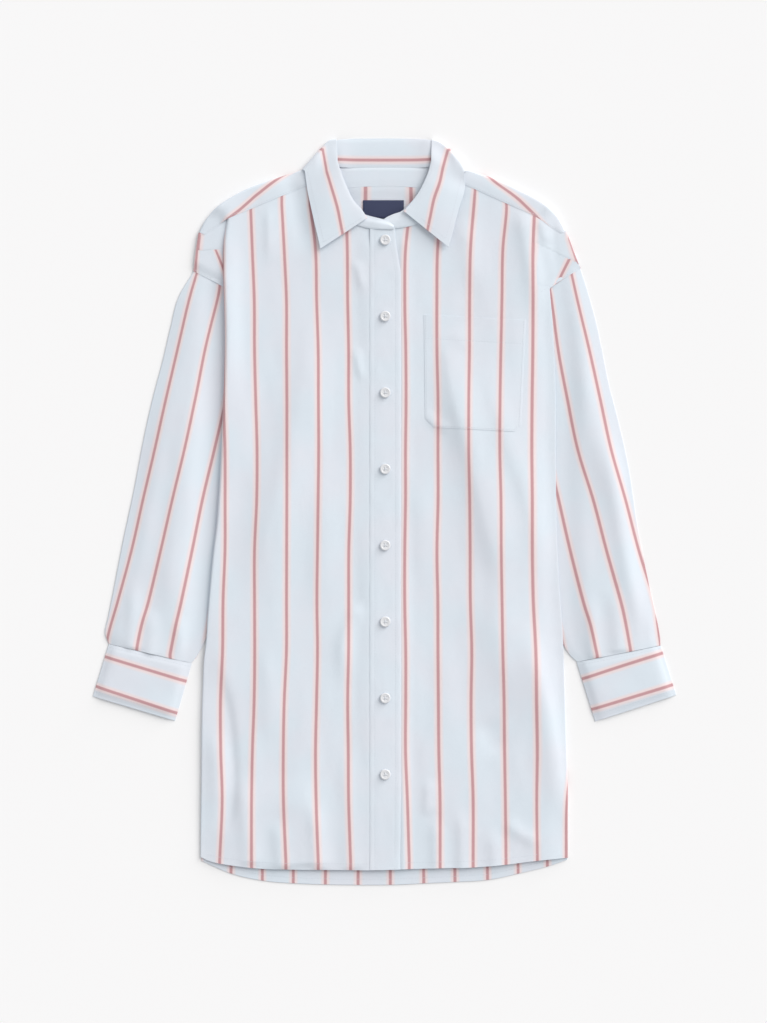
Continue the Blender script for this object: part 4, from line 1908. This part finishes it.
class DRESS_OT_stage(Operator):
    """Adds the pale floor, the soft studio light and the camera above the dress"""

    bl_idname = "shirt_dress.stage"
    bl_label = "Stage"
    bl_options = {"REGISTER", "UNDO"}

    def execute(self, context):
        studio = context.scene.dress_studio
        self.add_floor(studio)
        self.add_light(context, studio)
        self.add_camera(context, studio)
        context.scene.view_settings.view_transform = "Standard"
        return {"FINISHED"}

    @staticmethod
    def add_floor(studio):
        corners = [
            (FLOOR_HALF_SIZE * across, FLOOR_HALF_SIZE * along, -FLOOR_DROP)
            for across, along in ((-1, -1), (1, -1), (1, 1), (-1, 1))
        ]
        mesh = bpy.data.meshes.new("floor")
        mesh.from_pydata(corners, [], [(0, 1, 2, 3)])
        finish = Finish("pale_floor")
        place = finish.place()
        grain = finish.noise(place, 6.0, 3.0)
        shade = finish.blend(grain * 0.3, scaled(studio.floor, 1), scaled(studio.floor, 0.995))
        finish.set(Base_Color=shade, Roughness=0.9, Specular_IOR_Level=0.0)
        mesh.materials.append(finish.material)
        floor = bpy.data.objects.new("floor", mesh)
        bpy.context.scene.collection.objects.link(floor)

    @staticmethod
    def add_light(context, studio):
        for name, strength, angle, azimuth, elevation in (
            ("window", studio.sun_strength, studio.sun_angle, studio.sun_azimuth, studio.sun_elevation),
            ("low_window", studio.low_strength, studio.low_angle, studio.low_azimuth, studio.low_elevation),
        ):
            light = bpy.data.lights.new(name, "SUN")
            light.energy = strength
            light.angle = angle
            light.color = studio.sun_colour
            lamp = bpy.data.objects.new(name, light)
            lamp.rotation_mode = "QUATERNION"
            lamp.rotation_quaternion = (-light_direction(azimuth, elevation)).to_track_quat("-Z", "Y")
            context.scene.collection.objects.link(lamp)
        world = bpy.data.worlds.new("studio")
        world.use_nodes = True
        background = world.node_tree.nodes["Background"]
        background.inputs["Color"].default_value = (*studio.fill_colour, 1)
        background.inputs["Strength"].default_value = studio.fill_strength
        context.scene.world = world

    @staticmethod
    def add_camera(context, studio):
        data = bpy.data.cameras.new("camera")
        data.sensor_fit = "VERTICAL"
        data.sensor_height = data.sensor_width = SENSOR_SIZE
        data.lens = data.sensor_height * studio.camera_height / studio.view_height
        data.clip_end = CLIP_END
        camera = bpy.data.objects.new("camera", data)
        camera.location = (studio.view_centre[0], studio.view_centre[1], studio.camera_height)
        context.scene.collection.objects.link(camera)
        context.scene.camera = camera


# Settings

class DressSizes(PropertyGroup):
    """Sizes that a user would change."""

    cloth_thickness: FloatProperty(
        name="Cloth thickness", description="Thickness of one layer of poplin as drawn",
        default=0.0003, min=0.0002, max=0.001, precision=4, unit="LENGTH",
    )
    crisp_thickness: FloatProperty(
        name="Interlined thickness", description="Thickness of the collar, cuffs and placket",
        default=0.0005, min=0.0004, max=0.0014, precision=4, unit="LENGTH",
    )
    grid_step: FloatProperty(
        name="Cloth detail", description="Distance between neighbouring points of the cloth",
        default=0.0024, min=0.0015, max=0.01, precision=4, unit="LENGTH",
    )
    crease_depth: FloatProperty(
        name="Crease depth", description="Scale of all creases, 1 as measured",
        default=1.0, min=0.0, max=1.5, subtype="FACTOR",
    )


class DressColours(PropertyGroup):
    """Colours of the cloth, thread, buttons and label."""

    ground: FloatVectorProperty(
        name="Ground", description="Colour of the poplin between its stripes",
        subtype="COLOR", default=srgb(221.6, 229.4, 237.8), min=0, max=1,
    )
    stripe_core: FloatVectorProperty(
        name="Stripe", description="Colour of the middle of a stripe",
        subtype="COLOR", default=srgb(199, 154, 158), min=0, max=1,
    )
    stripe_flank: FloatVectorProperty(
        name="Stripe flanks", description="Colour on both sides of the middle of a stripe",
        subtype="COLOR", default=srgb(240, 223, 223), min=0, max=1,
    )
    core_reach: FloatProperty(
        name="Stripe half width", description="Half width of the middle of a stripe, in millimetres",
        default=1.75, min=0.3, max=4,
    )
    flank_reach: FloatProperty(
        name="Flank reach", description="How far the flanks reach from the middle, in millimetres",
        default=6.3, min=1, max=8,
    )
    thread: FloatVectorProperty(
        name="Thread", description="Colour of the sewing thread",
        subtype="COLOR", default=srgb(214, 220, 228), min=0, max=1,
    )
    button: FloatVectorProperty(
        name="Buttons", description="Colour of the pearly buttons",
        subtype="COLOR", default=srgb(232, 234, 237), min=0, max=1,
    )
    label: FloatVectorProperty(
        name="Label", description="Colour of the plain woven label",
        subtype="COLOR", default=srgb(46, 54, 86), min=0, max=1,
    )


class DressStudio(PropertyGroup):
    """The floor, light and camera."""

    floor: FloatVectorProperty(
        name="Floor", description="Colour of the floor",
        subtype="COLOR", default=(0.95, 0.95, 0.95), min=0, max=1,
    )
    sun_strength: FloatProperty(
        name="Window strength", description="Strength of the soft light from the side",
        default=1.815, min=0, max=10,
    )
    low_strength: FloatProperty(
        name="Low light strength", description="Strength of the low light that lengthens the shadows",
        default=1.23, min=0, max=10,
    )
    low_elevation: FloatProperty(
        name="Low light elevation", description="Height of the low light above the floor",
        default=math.radians(12), min=0, max=math.pi / 2, subtype="ANGLE",
    )
    low_azimuth: FloatProperty(
        name="Low light direction", description="Direction of the low light, from +X towards +Y",
        default=math.radians(50), min=-math.pi, max=math.pi, subtype="ANGLE",
    )
    low_angle: FloatProperty(
        name="Low light softness", description="Angular width of the low light",
        default=math.radians(24), min=0, max=math.pi / 2, subtype="ANGLE",
    )
    sun_elevation: FloatProperty(
        name="Window elevation", description="Height of the side light above the floor",
        default=math.radians(36), min=0, max=math.pi / 2, subtype="ANGLE",
    )
    sun_azimuth: FloatProperty(
        name="Window direction", description="Direction of the side light, from +X towards +Y",
        default=math.radians(40), min=-math.pi, max=math.pi, subtype="ANGLE",
    )
    sun_angle: FloatProperty(
        name="Window softness", description="Angular width of the side light",
        default=math.radians(42), min=0, max=math.pi / 2, subtype="ANGLE",
    )
    sun_colour: FloatVectorProperty(
        name="Window colour", description="Colour of the side light",
        subtype="COLOR", default=(1.0, 0.975, 0.955), min=0, max=1,
    )
    fill_colour: FloatVectorProperty(
        name="Fill colour", description="Colour of the light from all round",
        subtype="COLOR", default=(0.958, 0.967, 0.984), min=0, max=1,
    )
    fill_strength: FloatProperty(
        name="Fill strength", description="Strength of the light from all round",
        default=0.595, min=0, max=5,
    )
    camera_height: FloatProperty(
        name="Camera height", description="Height of the camera above the floor",
        default=3.2, min=0.5, max=10, unit="LENGTH",
    )
    view_height: FloatProperty(
        name="View height", description="Height of floor that the picture takes in",
        default=1.1253, min=0.1, max=5, unit="LENGTH",
    )
    view_centre: FloatVectorProperty(
        name="View centre", description="Place on the floor below the camera",
        size=2, default=(-0.00115, -0.00055), unit="LENGTH",
    )


CLOTH_OPERATORS = (
    DRESS_OT_back, DRESS_OT_fronts, DRESS_OT_yoke, DRESS_OT_sleeves, DRESS_OT_cuffs, DRESS_OT_placket,
    DRESS_OT_pocket, DRESS_OT_collar_stand, DRESS_OT_collar, DRESS_OT_neck_label, DRESS_OT_buttons,
    DRESS_OT_stitches,
)


class DRESS_PT_sidebar(Panel):
    """Lists the pieces of the dress and their settings"""

    bl_label = "Shirt dress"
    bl_idname = "DRESS_PT_sidebar"
    bl_space_type = "VIEW_3D"
    bl_region_type = "UI"
    bl_category = "Shirt dress"

    def draw(self, context):
        for operator in (DRESS_OT_stage, *CLOTH_OPERATORS):
            self.layout.operator(operator.bl_idname)
        scene = context.scene
        for group in (scene.dress_sizes, scene.dress_colours, scene.dress_studio):
            box = self.layout.box()
            for name in group.__annotations__:
                box.prop(group, name)


CLASSES = (
    DressSizes, DressColours, DressStudio, DRESS_OT_stage, *CLOTH_OPERATORS, DRESS_PT_sidebar,
)


def register():
    for cls in CLASSES:
        bpy.utils.register_class(cls)
    bpy.types.Scene.dress_sizes = PointerProperty(type=DressSizes)
    bpy.types.Scene.dress_colours = PointerProperty(type=DressColours)
    bpy.types.Scene.dress_studio = PointerProperty(type=DressStudio)


def unregister():
    del bpy.types.Scene.dress_studio
    del bpy.types.Scene.dress_colours
    del bpy.types.Scene.dress_sizes
    for cls in reversed(CLASSES):
        bpy.utils.unregister_class(cls)


def main():
    register()
    for operator in (DRESS_OT_stage, *CLOTH_OPERATORS):
        group, name = operator.bl_idname.split(".")
        getattr(getattr(bpy.ops, group), name)()


if __name__ == "__main__":
    main()
